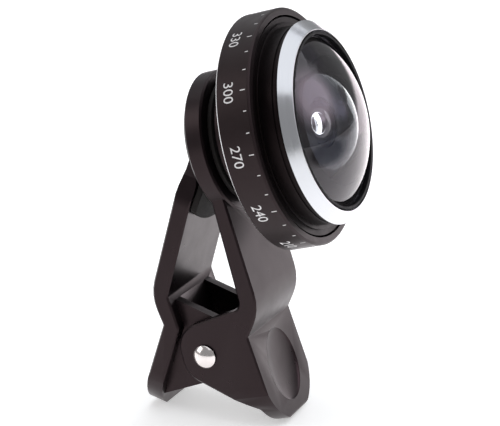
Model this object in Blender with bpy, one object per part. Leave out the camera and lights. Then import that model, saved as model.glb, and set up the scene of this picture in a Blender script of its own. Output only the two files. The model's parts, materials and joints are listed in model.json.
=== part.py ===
"""Clip-on phone lens: a wide-angle lens that screws into the ring of a sprung plastic clip.

The clip is drawn in its own frame and then stood on its two handles:
  x  along the lens axis, out of the front of the lens, 0 on the back of the clip's ring
  y  across the clip
  z  up the front jaw, 0 on the lens axis
Each jaw is drawn from the hinge pin: o is outwards, away from the phone, and u is up the arm.
"""

import math
from collections import namedtuple

import bmesh
import bpy
from mathutils import Matrix, Vector

MM = 0.001

# Clearances
SEAT_GAP = 0.3 * MM
SIDE_GAP = 0.3 * MM

# Clip: both jaws
CLIP_WIDTH = 18.0 * MM
JAW_ANGLE = math.radians(30.7)
ELBOW_FACE = 12.1 * MM
ELBOW_HEIGHT = 6.5 * MM
ELBOW_RADIUS = 8.0 * MM
HANDLE_FACE = 8.75 * MM
HANDLE_THICKNESS = 3.0 * MM
HANDLE_ROOT = 2.2 * MM
FOOT_WIDTH = 6.4 * MM
EDGE_SOFTENING = 0.3 * MM
NOTCH_RADIUS = 0.4 * MM
FOOT_OUTER_RADIUS = 0.6 * MM
FOOT_INNER_RADIUS = 0.4 * MM
EAR_RADIUS = 4.47 * MM
WALL_FOOT = 11.0 * MM
WALL_FOOT_RADIUS = 0.9 * MM
CHANNEL_STEP = 0.4 * MM
CHANNEL_RADIUS = 1.5 * MM
DIMPLE_LENGTH = 12.8 * MM
DIMPLE_WIDTH = 10.8 * MM
DIMPLE_DEPTH = 0.7 * MM
DIMPLE_DROP = 5.6 * MM

# Front jaw
FRONT_ARM_TOP_THICKNESS = 2.7 * MM
FRONT_ARM_BACK = 8.8 * MM
FRONT_EAR_HEIGHT = 5.0 * MM
FRONT_THROAT = 7.25 * MM
FRONT_THROAT_RADIUS = 1.6 * MM
FRONT_WALL = 2.0 * MM
FRONT_HANDLE_LEAN = math.radians(4.8)
FRONT_HANDLE_LENGTH = 14.9 * MM

# Ring at the top of the front jaw
RING_SETBACK = 8.34 * MM
LENS_HEIGHT = 34.0 * MM
RING_WIDTH = 3.55 * MM
RING_DEPTH = 3.2 * MM
THREAD_RADIUS = 8.5 * MM
RING_BEVEL = 0.3 * MM
PAD_RECESS = 0.7 * MM

# Rear jaw
REAR_ARM_BACK = 9.25 * MM
REAR_ARM_THICKNESS = 3.05 * MM
REAR_TIP_THICKNESS = 1.5 * MM
REAR_TIP_LENGTH = 5.2 * MM
REAR_TIP_FLAT = 0.4 * MM
REAR_TIP_CORNER = 0.5 * MM
REAR_EAR_HEIGHT = 6.0 * MM
REAR_THROAT = 6.6 * MM
REAR_WALL = 1.8 * MM
REAR_BEND_RADIUS = 4.0 * MM
REAR_ROOT_RADIUS = 1.0 * MM
WALL_SINK = 0.8 * MM
REAR_HANDLE_LEAN = math.radians(2.6)
REAR_HANDLE_LENGTH = 14.9 * MM

# Pads
PAD_THICKNESS = 1.0 * MM
PAD_MARGIN = 0.2 * MM
PAD_RADIUS = 14.2 * MM
PAD_FOOT = 20.8 * MM
RING_PAD_THICKNESS = 1.0 * MM
RING_PAD_WIDTH = 1.85 * MM

# Hinge pin and spring
PIN_RADIUS = 1.5 * MM
PIN_HEAD_RADIUS = 2.05 * MM
PIN_HEAD_HEIGHT = 0.95 * MM
PIN_TAIL_RADIUS = 1.9 * MM
WIRE_RADIUS = 0.5 * MM
COIL_RADIUS = 3.0 * MM
COIL_PITCH = 1.3 * MM
COIL_WHOLE_TURNS = 4
LEG_REACH = 10.0 * MM

# Lens, outside
WASHER_THICKNESS = 0.8 * MM
WASHER_WIDTH = 1.6 * MM
NECK_LENGTH = 5.3 * MM
BAND_OVERHANG = 3.25 * MM
BAND_LENGTH = 5.95 * MM
BAND_WALL = 1.3 * MM
BACK_WALL = 1.4 * MM
BACK_STEP = 0.4 * MM
EDGE_CHAMFER = 0.3 * MM
BARREL_RADIUS = 16.5 * MM
BARREL_WALL = 1.2 * MM
BARREL_RISE = 3.2 * MM
BARREL_STEP_WIDTH = 0.7 * MM
BARREL_STEP_HEIGHT = 0.35 * MM
FLANGE_DEPTH = 1.1 * MM
BEZEL_OVERHANG = 0.38 * MM
BEZEL_BEVEL = 1.58 * MM
BEZEL_LENGTH = 1.8 * MM
BEZEL_WALL = 0.35 * MM

# Lens, inside
RETAINER_WALL = 0.45 * MM
RETAINER_DEPTH = 1.6 * MM
DOME_EDGE = 2.4 * MM
DOME_RISE = 6.0 * MM
DOME_CENTRE_THICKNESS = 1.4 * MM
DOME_HOLLOW_RADIUS = 11.6 * MM
SHELF_THICKNESS = 1.0 * MM
SHELF_WIDTH = 2.4 * MM
GASKET_THICKNESS = 0.5 * MM
GASKET_WIDTH = 1.6 * MM
BAFFLE_THICKNESS = 0.4 * MM
SPIGOT_RADIUS = 8.6 * MM
SPIGOT_LENGTH = 1.9 * MM
POCKET_RADIUS = 6.6 * MM
STUB_WALL_DEPTH = 1.1 * MM
STUB_SETBACK = 1.2 * MM
APERTURE_RADIUS = 4.4 * MM
REAR_ELEMENT_THICKNESS = 2.4 * MM
SPACER_LENGTH = 1.8 * MM
SPACER_WALL = 1.1 * MM
THIRD_ELEMENT_THICKNESS = 2.0 * MM
LENS_BULGE = 0.7 * MM
STOP_THICKNESS = 0.4 * MM
STOP_RADIUS = 1.4 * MM
CELL_FLANGE_RADIUS = 8.2 * MM
CELL_FLANGE_THICKNESS = 1.0 * MM
SECOND_ELEMENT_RADIUS = 3.9 * MM
SECOND_ELEMENT_EDGE = 1.0 * MM
SECOND_ELEMENT_RISE = 2.3 * MM
CELL_LIP = 0.5 * MM
CELL_NOSE_WALL = 0.8 * MM

# Facets
LARGE_SEGMENTS = 48
NECK_SEGMENTS = 40
SMALL_SEGMENTS = 32
PIN_SEGMENTS = 24
ARC_STEP = math.radians(13)
OVERCUT = 0.05 * MM
CUT_REACH = 60.0 * MM
CUT_PAST = 2.0 * MM
AXIS_DISPLAY_SIZE = 5.0 * MM
LEAST_RADIUS = 0.02 * MM
LEAST_LAND = 0.1 * MM

# Radii that follow the thread or the barrel
RING_RADIUS = THREAD_RADIUS + RING_WIDTH
RING_PAD_RADIUS = THREAD_RADIUS + 2 * SIDE_GAP + RING_PAD_WIDTH
NECK_RADIUS = THREAD_RADIUS + SIDE_GAP + WASHER_WIDTH
BAND_RADIUS = BARREL_RADIUS + BAND_OVERHANG
BARREL_STEP_RADIUS = BARREL_RADIUS + BARREL_STEP_WIDTH
BARREL_BORE = BARREL_RADIUS - BARREL_WALL
BEZEL_RADIUS = BARREL_RADIUS + BEZEL_OVERHANG
BEZEL_LIP_RADIUS = BEZEL_RADIUS - BEZEL_BEVEL
RETAINER_RADIUS = BEZEL_LIP_RADIUS - BEZEL_WALL - SIDE_GAP
DOME_RADIUS = BARREL_BORE - SIDE_GAP
SHELF_RADIUS = BARREL_BORE - SHELF_WIDTH

# Places along the lens axis, each from the piece that it sits on
WASHER_BACK = RING_DEPTH + SEAT_GAP
NECK_BACK = WASHER_BACK + WASHER_THICKNESS + SEAT_GAP
NECK_FRONT = NECK_BACK + NECK_LENGTH
BAND_BACK = NECK_FRONT + SEAT_GAP
BAND_FRONT = BAND_BACK + BAND_LENGTH
BARREL_BACK = BAND_BACK + BACK_WALL + SEAT_GAP
BARREL_FRONT = BAND_FRONT + BARREL_RISE
BEZEL_BACK = BARREL_FRONT + SEAT_GAP
BEZEL_FRONT = BEZEL_BACK + BEZEL_LENGTH
DOME_FRONT = BEZEL_FRONT - RETAINER_DEPTH - SEAT_GAP
DOME_BACK = DOME_FRONT - DOME_EDGE
GASKET_BACK = DOME_BACK - SEAT_GAP - GASKET_THICKNESS
SHELF_FRONT = GASKET_BACK - SEAT_GAP
SHELF_BACK = SHELF_FRONT - SHELF_THICKNESS
SPIGOT_FRONT = NECK_FRONT + SPIGOT_LENGTH
STUB_BACK = STUB_SETBACK
POCKET_BACK = STUB_BACK + STUB_WALL_DEPTH
REAR_ELEMENT_BACK = POCKET_BACK + SEAT_GAP
SPACER_BACK = REAR_ELEMENT_BACK + REAR_ELEMENT_THICKNESS + SEAT_GAP
THIRD_ELEMENT_BACK = SPACER_BACK + SPACER_LENGTH + SEAT_GAP
STOP_BACK = THIRD_ELEMENT_BACK + THIRD_ELEMENT_THICKNESS + SEAT_GAP
CELL_BACK = STOP_BACK + STOP_THICKNESS + SEAT_GAP
CELL_FLANGE_BACK = SPIGOT_FRONT + SEAT_GAP
CELL_FLANGE_FRONT = CELL_FLANGE_BACK + CELL_FLANGE_THICKNESS
CELL_FRONT = GASKET_BACK - SEAT_GAP
STACK_RADIUS = POCKET_RADIUS - SIDE_GAP

# Places round the jaws
RING_PAD_BACK = PAD_RECESS - SEAT_GAP - RING_PAD_THICKNESS
PAD_CLOSED_DISTANCE = -RING_PAD_BACK + PAD_THICKNESS + 2 * SEAT_GAP
EAR_INSET = CLIP_WIDTH / 2 - FRONT_WALL - SIDE_GAP
PIN_HALF_LENGTH = CLIP_WIDTH / 2 + SIDE_GAP

# A thumb handle: which side of the hinge it is on, how it leans out, and how far it reaches
Handle = namedtuple("Handle", "facing lean length")
FRONT_HANDLE = Handle(1, FRONT_HANDLE_LEAN, FRONT_HANDLE_LENGTH)
REAR_HANDLE = Handle(-1, REAR_HANDLE_LEAN, REAR_HANDLE_LENGTH)


def material(name, colour, roughness, metallic=0.0, transmission=0.0):
    """A Principled material, made once."""
    made = bpy.data.materials.get(name) or bpy.data.materials.new(name)
    made.use_nodes = True
    shader = made.node_tree.nodes["Principled BSDF"]
    shader.inputs["Base Color"].default_value = (*colour, 1.0)
    shader.inputs["Roughness"].default_value = roughness
    shader.inputs["Metallic"].default_value = metallic
    shader.inputs["Transmission Weight"].default_value = transmission
    made.diffuse_color = (*colour, 1.0)
    return made


def finished(name, shape, parent, finish):
    """Turns a bmesh into a smooth-shaded object that hangs from its parent."""
    bmesh.ops.recalc_face_normals(shape, faces=shape.faces)
    mesh = bpy.data.meshes.new(name)
    shape.to_mesh(mesh)
    shape.free()
    mesh.shade_smooth()
    mesh.set_sharp_from_angle(angle=math.radians(35))
    made = bpy.data.objects.new(name, mesh)
    bpy.context.scene.collection.objects.link(made)
    made.parent = parent
    if finish:
        mesh.materials.append(finish)
    return made


def empty(name, parent, place, turn=0.0):
    """An axis that pieces hang from, turned about y."""
    made = bpy.data.objects.new(name, None)
    bpy.context.scene.collection.objects.link(made)
    made.parent = parent
    made.location = place
    made.rotation_euler = (0.0, turn, 0.0)
    made.empty_display_size = AXIS_DISPLAY_SIZE
    return made


def turned(name, profile, parent, finish, segments=LARGE_SEGMENTS):
    """A solid of revolution about x. The profile's points are (x, radius), and one that
    starts and ends on the axis makes a solid piece, and any other a ring."""
    shape = bmesh.new()
    points = [shape.verts.new((x, 0.0, radius)) for x, radius in profile]
    solid = profile[0][1] == 0.0 and profile[-1][1] == 0.0
    edges = [shape.edges.new(pair) for pair in zip(points, points[1:])]
    if not solid:
        edges.append(shape.edges.new((points[-1], points[0])))
    bmesh.ops.spin(shape, geom=points + edges, axis=(1, 0, 0), cent=(0, 0, 0),
                   angle=math.tau, steps=segments, use_merge=True)
    bmesh.ops.remove_doubles(shape, verts=shape.verts, dist=1e-7)
    return finished(name, shape, parent, finish)


def cap_arc(x_rim, rim, rise, steps, from_axis=True):
    """Points of a shallow spherical face that stands rise in front of its rim."""
    ball = (rim * rim + rise * rise) / (2 * abs(rise))
    half = math.asin(min(1.0, rim / ball))
    side = 1.0 if rise > 0 else -1.0
    centre = x_rim + rise - side * ball
    points = []
    for step in range(steps + 1):
        angle = half * step / steps
        points.append((centre + side * ball * math.cos(angle), ball * math.sin(angle)))
    points[0] = (points[0][0], 0.0)
    return points if from_axis else points[::-1]


def cap_height(rim, rise, radius):
    """How far a spherical cap stands in front of its rim at a radius."""
    ball = (rim * rim + rise * rise) / (2 * rise)
    return math.sqrt(ball ** 2 - radius ** 2) - (ball - rise)


def fillet(before, corner, after, radius):
    """The points of a rounded corner, in equal steps of angle."""
    if radius == 0.0:
        return [corner]
    back = (before - corner).normalized()
    ahead = (after - corner).normalized()
    opening = back.angle(ahead)
    turn = math.pi - opening
    reach = radius / math.tan(opening / 2)
    centre = corner + (back + ahead).normalized() * (radius / math.sin(opening / 2))
    start = corner + back * reach - centre
    side = 1.0 if back.cross(ahead) < 0 else -1.0
    steps = max(2, math.ceil(turn / ARC_STEP))
    return [centre + Matrix.Rotation(side * turn * step / steps, 2) @ start
            for step in range(steps + 1)]


def outline(corners):
    """A closed outline from corners given as (across, up, radius)."""
    points = []
    places = [Vector(corner[:2]) for corner in corners]
    for number, corner in enumerate(corners):
        before = places[number - 1]
        after = places[(number + 1) % len(places)]
        points += fillet(before, places[number], after, corner[2])
    return points


def inset(corners, distance):
    """The same corners with every side moved inwards, for outlines drawn anticlockwise."""
    moved = []
    for number, (across, up, radius) in enumerate(corners):
        here = Vector((across, up))
        before = Vector(corners[number - 1][:2])
        after = Vector(corners[(number + 1) % len(corners)][:2])
        first = (here - before).normalized()
        second = (after - here).normalized()
        inward = first.orthogonal() + second.orthogonal()
        shift = inward * (distance / (1.0 + first.dot(second)))
        convex = first.cross(second) > 0
        change = -distance if convex else distance
        new_radius = max(radius + change, LEAST_RADIUS) if radius else 0.0
        place = here + shift
        moved.append((place.x, place.y, new_radius))
    return moved


def prism(name, corners, low_y, high_y, parent, finish, softening=0.0, facing=1.0):
    """An outline in (o, u) carried across the clip, with its two long edges softened."""
    sections = [(low_y, softening), (high_y, softening)]
    if softening:
        sections = [(low_y, softening), (low_y + softening, 0.0),
                    (high_y - softening, 0.0), (high_y, softening)]
    shape = bmesh.new()
    loops = []
    for y, distance in sections:
        points = outline(inset(corners, distance) if distance else corners)
        loops.append([shape.verts.new((facing * p.x, y, p.y)) for p in points])
    for near, far in zip(loops, loops[1:]):
        for number in range(len(near)):
            after = (number + 1) % len(near)
            shape.faces.new((near[number], near[after], far[after], far[number]))
    shape.faces.new(loops[0])
    shape.faces.new(loops[-1])
    return finished(name, shape, parent, finish)


def plan_cutter(name, corners, parent, facing):
    """An outline in (y, u) carried right through, which trims the ends of a jaw or pad."""
    shape = bmesh.new()
    loops = []
    for o in (-CUT_REACH, CUT_REACH):
        loops.append([shape.verts.new((facing * o, p.x, p.y)) for p in outline(corners)])
    for number in range(len(loops[0])):
        after = (number + 1) % len(loops[0])
        shape.faces.new((loops[0][number], loops[0][after], loops[1][after], loops[1][number]))
    shape.faces.new(loops[0])
    shape.faces.new(loops[1])
    return finished(name, shape, parent, None)


def combine(target, tool, operation):
    """Adds, cuts or trims with a helper that isn't part of the object."""
    tool.hide_render = True
    tool.display_type = "WIRE"
    step = target.modifiers.new(tool.name, "BOOLEAN")
    step.operation = operation
    step.object = tool
    step.solver = "EXACT"


def handle_face(handle, u):
    """How far out the handle's thumb face is at a height below the notch."""
    return HANDLE_FACE + math.tan(handle.lean) * (HANDLE_ROOT - u)


def foot_drop(handle):
    """How far the rounded handle end goes down before its small flat foot."""
    radius = CLIP_WIDTH / 2 + OVERCUT
    return handle.length - radius + math.sqrt(radius ** 2 - (FOOT_WIDTH / 2) ** 2)


def outer_corners(handle, arm_face):
    """Elbow, notch and handle end, going down the outside of either jaw."""
    end = -foot_drop(handle)
    face = handle_face(handle, end)
    return [
        (arm_face, ELBOW_HEIGHT, ELBOW_RADIUS),
        (HANDLE_FACE, HANDLE_ROOT, NOTCH_RADIUS),
        (face, end, FOOT_OUTER_RADIUS),
        (face - HANDLE_THICKNESS, end, FOOT_INNER_RADIUS),
    ]


def ear_corners(handle, ear_height, throat, arm_back, throat_radius):
    """Side wall from the handle up round the hinge pin and back to the arm."""
    wall_face = handle_face(handle, -WALL_FOOT) - HANDLE_THICKNESS
    slope = (WALL_FOOT - EAR_RADIUS) / (wall_face + EAR_RADIUS / 2)
    low = -WALL_FOOT + slope * (wall_face + EAR_RADIUS)
    return [
        (wall_face, -WALL_FOOT, WALL_FOOT_RADIUS),
        (-EAR_RADIUS, low, EAR_RADIUS),
        (-EAR_RADIUS, ear_height, EAR_RADIUS),
        (arm_back, throat, throat_radius),
    ]


def channel_corners(handle, arm_back, throat):
    """The space between the side walls, behind the handle and the elbow."""
    end = -foot_drop(handle) - CUT_PAST
    plate = HANDLE_FACE - HANDLE_THICKNESS
    clear = -EAR_RADIUS - CUT_PAST
    shoulder = arm_back - CHANNEL_STEP
    return [
        (shoulder, throat + CUT_PAST, 0.0),
        (clear, throat + CUT_PAST, 0.0),
        (clear, end, 0.0),
        (handle_face(handle, end) - HANDLE_THICKNESS, end, 0.0),
        (plate, HANDLE_ROOT + CHANNEL_STEP, CHANNEL_RADIUS),
        (shoulder, throat - CHANNEL_STEP, CHANNEL_STEP),
    ]


def end_corners(handle, top, top_radius):
    """Plan of a jaw seen from outside: round at the handle, with a short flat foot."""
    half = CLIP_WIDTH / 2 + OVERCUT
    steps = 9
    start = math.asin(FOOT_WIDTH / 2 / half)
    low = -handle.length + half
    right = []
    for step in range(steps + 1):
        angle = start + (math.pi / 2 - start) * step / steps
        right.append((half * math.sin(angle), low - half * math.cos(angle), 0.0))
    left = [(-y, u, 0.0) for y, u, _ in reversed(right)]
    return right + [(half, top, top_radius), (-half, top, top_radius)] + left


def thumb_dimple(name, parent, handle):
    """The shallow oval hollow pressed into a thumb face, with a crisp edge all round."""
    shape = bmesh.new()
    bmesh.ops.create_uvsphere(shape, u_segments=24, v_segments=16, radius=1.0)
    size = Matrix.Diagonal((DIMPLE_DEPTH, DIMPLE_WIDTH / 2, DIMPLE_LENGTH / 2, 1.0))
    lean = Matrix.Rotation(-handle.facing * handle.lean, 4, "Y")
    out = handle.facing * (handle_face(handle, -DIMPLE_DROP) + OVERCUT)
    place = Matrix.Translation((out, 0.0, -DIMPLE_DROP))
    bmesh.ops.transform(shape, matrix=place @ lean @ size, verts=shape.verts)
    return finished(name, shape, parent, None)


def pin_hole(name, parent):
    """The running hole for the hinge pin, right through both walls of a jaw."""
    shape = bmesh.new()
    radius = PIN_RADIUS + SIDE_GAP
    bmesh.ops.create_cone(shape, cap_ends=True, segments=PIN_SEGMENTS, radius1=radius,
                          radius2=radius, depth=CLIP_WIDTH + 2 * CUT_PAST)
    bmesh.ops.rotate(shape, verts=shape.verts, matrix=Matrix.Rotation(math.pi / 2, 3, "X"))
    return finished(name, shape, parent, None)


def front_jaw(axis, plastic):
    """Arm, ring, thumb handle and two side walls, moulded in one piece."""
    arm_end = LENS_HEIGHT - RING_RADIUS / 2
    face = RING_SETBACK + FRONT_ARM_TOP_THICKNESS
    corners = [(RING_SETBACK + RING_BEVEL, arm_end, 0.0)]
    corners += ear_corners(FRONT_HANDLE, FRONT_EAR_HEIGHT, FRONT_THROAT, FRONT_ARM_BACK,
                           FRONT_THROAT_RADIUS)[::-1]
    corners += outer_corners(FRONT_HANDLE, ELBOW_FACE)[::-1]
    corners += [(face, arm_end, 0.0)]
    half = CLIP_WIDTH / 2
    jaw = prism("front_jaw", corners, -half, half, axis, plastic, EDGE_SOFTENING)

    inside_corners = channel_corners(FRONT_HANDLE, FRONT_ARM_BACK, FRONT_THROAT)
    channel = prism("front_channel", inside_corners, FRONT_WALL - half, half - FRONT_WALL,
                    axis, None)
    combine(jaw, channel, "DIFFERENCE")
    plan = end_corners(FRONT_HANDLE, LENS_HEIGHT, 0.0)
    combine(jaw, plan_cutter("front_end_trim", plan, axis, 1), "INTERSECT")
    combine(jaw, pin_hole("front_pin_hole", axis), "DIFFERENCE")
    combine(jaw, thumb_dimple("front_dimple", axis, FRONT_HANDLE), "DIFFERENCE")

    back = RING_SETBACK
    ahead = back + RING_DEPTH
    inside = THREAD_RADIUS / 2
    rim = [(back, inside), (back, RING_RADIUS - RING_BEVEL), (back + RING_BEVEL, RING_RADIUS),
           (ahead - RING_BEVEL, RING_RADIUS), (ahead, RING_RADIUS - RING_BEVEL), (ahead, inside)]
    ring = turned("ring_boss", rim, axis, None)
    ring.location = (0.0, 0.0, LENS_HEIGHT)
    combine(jaw, ring, "UNION")
    wall = THREAD_RADIUS + SIDE_GAP
    lead = RING_BEVEL
    over = back - CUT_PAST
    past = ahead + CUT_PAST
    recess = RING_PAD_RADIUS + SIDE_GAP
    bore = [(over, 0.0), (over, recess), (back + PAD_RECESS, recess), (back + PAD_RECESS, wall),
            (ahead - lead, wall), (ahead, wall + lead), (past, wall + lead), (past, 0.0)]
    cutter = turned("ring_bore", bore, axis, None)
    cutter.location = (0.0, 0.0, LENS_HEIGHT)
    combine(jaw, cutter, "DIFFERENCE")
    return jaw


def closed_line(distance, o):
    """Height at which a line parallel to the ring's back, a distance behind it, crosses o."""
    return (RING_SETBACK - distance + o * math.cos(JAW_ANGLE)) / math.sin(JAW_ANGLE)


def rear_tip_corners():
    """The end of the rear arm: its inner face turns parallel to the ring when closed."""
    along = Vector((math.sin(JAW_ANGLE), math.cos(JAW_ANGLE)))
    outward = Vector((math.cos(JAW_ANGLE), -math.sin(JAW_ANGLE)))
    face = REAR_ARM_BACK + REAR_ARM_THICKNESS
    bend = Vector((REAR_ARM_BACK, closed_line(PAD_CLOSED_DISTANCE, REAR_ARM_BACK)))
    top = bend + along * REAR_TIP_LENGTH
    outer_top = top + outward * REAR_TIP_THICKNESS
    outer_bend = Vector((face, closed_line(PAD_CLOSED_DISTANCE + REAR_TIP_THICKNESS, face)))
    return bend, top, outer_top, outer_bend


def rear_jaw(axis, plastic):
    """Plain arm and thumb handle, with two side walls that fit inside the front jaw's."""
    bend, top, outer_top, outer_bend = rear_tip_corners()
    inner = channel_corners(REAR_HANDLE, REAR_ARM_BACK, REAR_THROAT)[4]
    end = -foot_drop(REAR_HANDLE)
    plate = handle_face(REAR_HANDLE, end) - HANDLE_THICKNESS
    arm_face = REAR_ARM_BACK + REAR_ARM_THICKNESS
    corners = [(bend.x, bend.y, REAR_BEND_RADIUS),
               (REAR_ARM_BACK, REAR_THROAT + REAR_ROOT_RADIUS, REAR_ROOT_RADIUS)]
    corners += [inner, (plate, end, FOOT_INNER_RADIUS)]
    corners += outer_corners(REAR_HANDLE, arm_face)[:3][::-1]
    corners += [(outer_bend.x, outer_bend.y, REAR_BEND_RADIUS),
                (outer_top.x, outer_top.y, REAR_TIP_CORNER), (top.x, top.y, REAR_TIP_CORNER)]
    half = CLIP_WIDTH / 2
    jaw = prism("rear_jaw", corners, -half, half, axis, plastic, EDGE_SOFTENING, -1)

    walls = ear_corners(REAR_HANDLE, REAR_EAR_HEIGHT, REAR_THROAT, REAR_ARM_BACK, 0.0)
    core = plate + HANDLE_THICKNESS / 2
    side = [(REAR_ARM_BACK + WALL_SINK, REAR_THROAT + WALL_SINK, 0.0), walls[3], walls[2],
            walls[1], walls[0], (core, -WALL_FOOT - WALL_SINK, 0.0), (core, HANDLE_ROOT, 0.0)]
    for label, low in (("near", -EAR_INSET), ("far", EAR_INSET - REAR_WALL)):
        wall = prism("rear_wall_" + label, side, low, low + REAR_WALL, axis, None, 0.0, -1)
        combine(jaw, wall, "UNION")
    plan = end_corners(REAR_HANDLE, top.y, (CLIP_WIDTH - REAR_TIP_FLAT) / 2)
    combine(jaw, plan_cutter("rear_end_trim", plan, axis, -1), "INTERSECT")
    combine(jaw, pin_hole("rear_pin_hole", axis), "DIFFERENCE")
    combine(jaw, thumb_dimple("rear_dimple", axis, REAR_HANDLE), "DIFFERENCE")
    return jaw


def rear_jaw_pad(axis, soft):
    """Soft pad on the rear jaw, following the bend, with a round tip and lower edge."""
    bend, top, _, _ = rear_tip_corners()
    along = (top - bend).normalized()
    inward = Vector((-math.cos(JAW_ANGLE), math.sin(JAW_ANGLE)))
    upper = top - along * (2 * PAD_MARGIN)
    back_o = REAR_ARM_BACK - SEAT_GAP
    front_o = back_o - PAD_THICKNESS
    below = PAD_FOOT - CUT_PAST
    back_distance = PAD_CLOSED_DISTANCE - SEAT_GAP
    bend_back = Vector((back_o, closed_line(back_distance, back_o)))
    bend_front = Vector((front_o, closed_line(back_distance - PAD_THICKNESS, front_o)))
    upper_back = upper + inward * SEAT_GAP
    upper_front = upper_back + inward * PAD_THICKNESS
    back_radius = REAR_BEND_RADIUS - SEAT_GAP
    corners = [(*bend_back, back_radius), (*upper_back, 0.0), (*upper_front, 0.0),
               (*bend_front, back_radius - PAD_THICKNESS), (front_o, below, 0.0),
               (back_o, below, 0.0)]
    half = CLIP_WIDTH / 2 - PAD_MARGIN
    pad = prism("rear_jaw_pad", corners, -half, half, axis, soft, 0.0, -1)
    past = half + OVERCUT
    reach = math.asin(past / PAD_RADIUS)
    rounding = []
    steps = 10
    for step in range(steps + 1):
        angle = reach * (2 * step / steps - 1)
        rounding.append((PAD_RADIUS * math.sin(angle),
                         PAD_FOOT + PAD_RADIUS * (1 - math.cos(angle)), 0.0))
    above = top.y + CLIP_WIDTH
    lower_plan = rounding + [(past, above, 0.0), (-past, above, 0.0)]
    combine(pad, plan_cutter("pad_foot_trim", lower_plan, axis, -1), "INTERSECT")
    tip = top.y - PAD_MARGIN
    radius = half - REAR_TIP_FLAT / 2
    upper_plan = [(-past, 0.0, 0.0), (past, 0.0, 0.0), (past, tip, radius), (-past, tip, radius)]
    combine(pad, plan_cutter("pad_tip_trim", upper_plan, axis, -1), "INTERSECT")
    return pad


def hinge_pin(axis, steel):
    """Steel pin with a domed head, riveted over at its far end."""
    head = PIN_HALF_LENGTH
    profile = cap_arc(head, PIN_HEAD_RADIUS, PIN_HEAD_HEIGHT, 5)
    profile += [(head, PIN_RADIUS), (-head, PIN_RADIUS)]
    profile += cap_arc(-head, PIN_TAIL_RADIUS, -0.6 * PIN_HEAD_HEIGHT, 4, False)
    pin = turned("pivot_pin", profile, axis, steel, PIN_SEGMENTS)
    pin.rotation_euler = (0.0, 0.0, -math.pi / 2)
    return pin


def torsion_spring(axis, wire):
    """Coil round the pin, with a straight leg down the inside of each handle."""
    plate = handle_face(REAR_HANDLE, -LEG_REACH) - HANDLE_THICKNESS - WIRE_RADIUS - SEAT_GAP
    end = Vector((plate, -LEG_REACH))
    lift = math.acos(COIL_RADIUS / end.length)
    first = math.atan2(end.y, end.x) + lift
    mirrored = math.pi - first - JAW_ANGLE
    turn = mirrored - first + math.tau * COIL_WHOLE_TURNS
    length = COIL_PITCH * turn / math.tau
    count = math.ceil(turn / math.radians(20))
    points = []
    leg_steps = 3
    start = Vector((math.cos(first), math.sin(first))) * COIL_RADIUS
    for step in range(leg_steps):
        place = end.lerp(start, step / leg_steps)
        points.append((place.x, length / 2, place.y))
    for step in range(count + 1):
        share = step / count
        angle = first + turn * share
        points.append((COIL_RADIUS * math.cos(angle), length * (0.5 - share),
                       COIL_RADIUS * math.sin(angle)))
    lean = Matrix.Rotation(-JAW_ANGLE, 2)
    for step in range(leg_steps - 1, -1, -1):
        place = end.lerp(start, step / leg_steps)
        place = lean @ Vector((-place.x, place.y))
        points.append((place.x, -length / 2, place.y))
    curve = bpy.data.curves.new("torsion_spring", "CURVE")
    curve.dimensions = "3D"
    curve.bevel_depth = WIRE_RADIUS
    curve.bevel_resolution = 1
    curve.use_fill_caps = True
    curve.materials.append(wire)
    spline = curve.splines.new("POLY")
    spline.points.add(len(points) - 1)
    for point, place in zip(spline.points, points):
        point.co = (*place, 1.0)
    made = bpy.data.objects.new("torsion_spring", curve)
    bpy.context.scene.collection.objects.link(made)
    made.parent = axis
    return made


def ring_pad(axis, soft):
    """Thin soft ring let into the back of the clip's ring, which meets the phone."""
    outer = RING_PAD_RADIUS
    inner = THREAD_RADIUS + 2 * SIDE_GAP
    back = RING_PAD_BACK
    front = back + RING_PAD_THICKNESS
    profile = [(front, inner), (front, outer), (back, outer), (back, inner)]
    return turned("ring_pad", profile, axis, soft, NECK_SEGMENTS)


def seat_washer(axis, soft):
    """Thin washer between the ring and the lens's shoulder."""
    inner = THREAD_RADIUS + SIDE_GAP
    outer = inner + WASHER_WIDTH
    front = WASHER_BACK + WASHER_THICKNESS
    profile = [(WASHER_BACK, inner), (WASHER_BACK, outer), (front, outer), (front, inner)]
    return turned("seat_washer", profile, axis, soft, NECK_SEGMENTS)


def rear_barrel(axis, metal):
    """Threaded stub, neck and spigot, bored for the small rear lens elements."""
    chamfer = EDGE_CHAMFER
    profile = [
        (STUB_BACK, APERTURE_RADIUS + chamfer),
        (STUB_BACK, THREAD_RADIUS - chamfer),
        (STUB_BACK + chamfer, THREAD_RADIUS),
        (NECK_BACK, THREAD_RADIUS),
        (NECK_BACK, NECK_RADIUS - chamfer),
        (NECK_BACK + chamfer, NECK_RADIUS),
        (NECK_FRONT, NECK_RADIUS),
        (NECK_FRONT, SPIGOT_RADIUS),
        (SPIGOT_FRONT, SPIGOT_RADIUS),
        (SPIGOT_FRONT, POCKET_RADIUS),
        (POCKET_BACK, POCKET_RADIUS),
        (POCKET_BACK, APERTURE_RADIUS),
        (STUB_BACK + chamfer, APERTURE_RADIUS),
    ]
    return turned("rear_barrel", profile, axis, metal, NECK_SEGMENTS)


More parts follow.
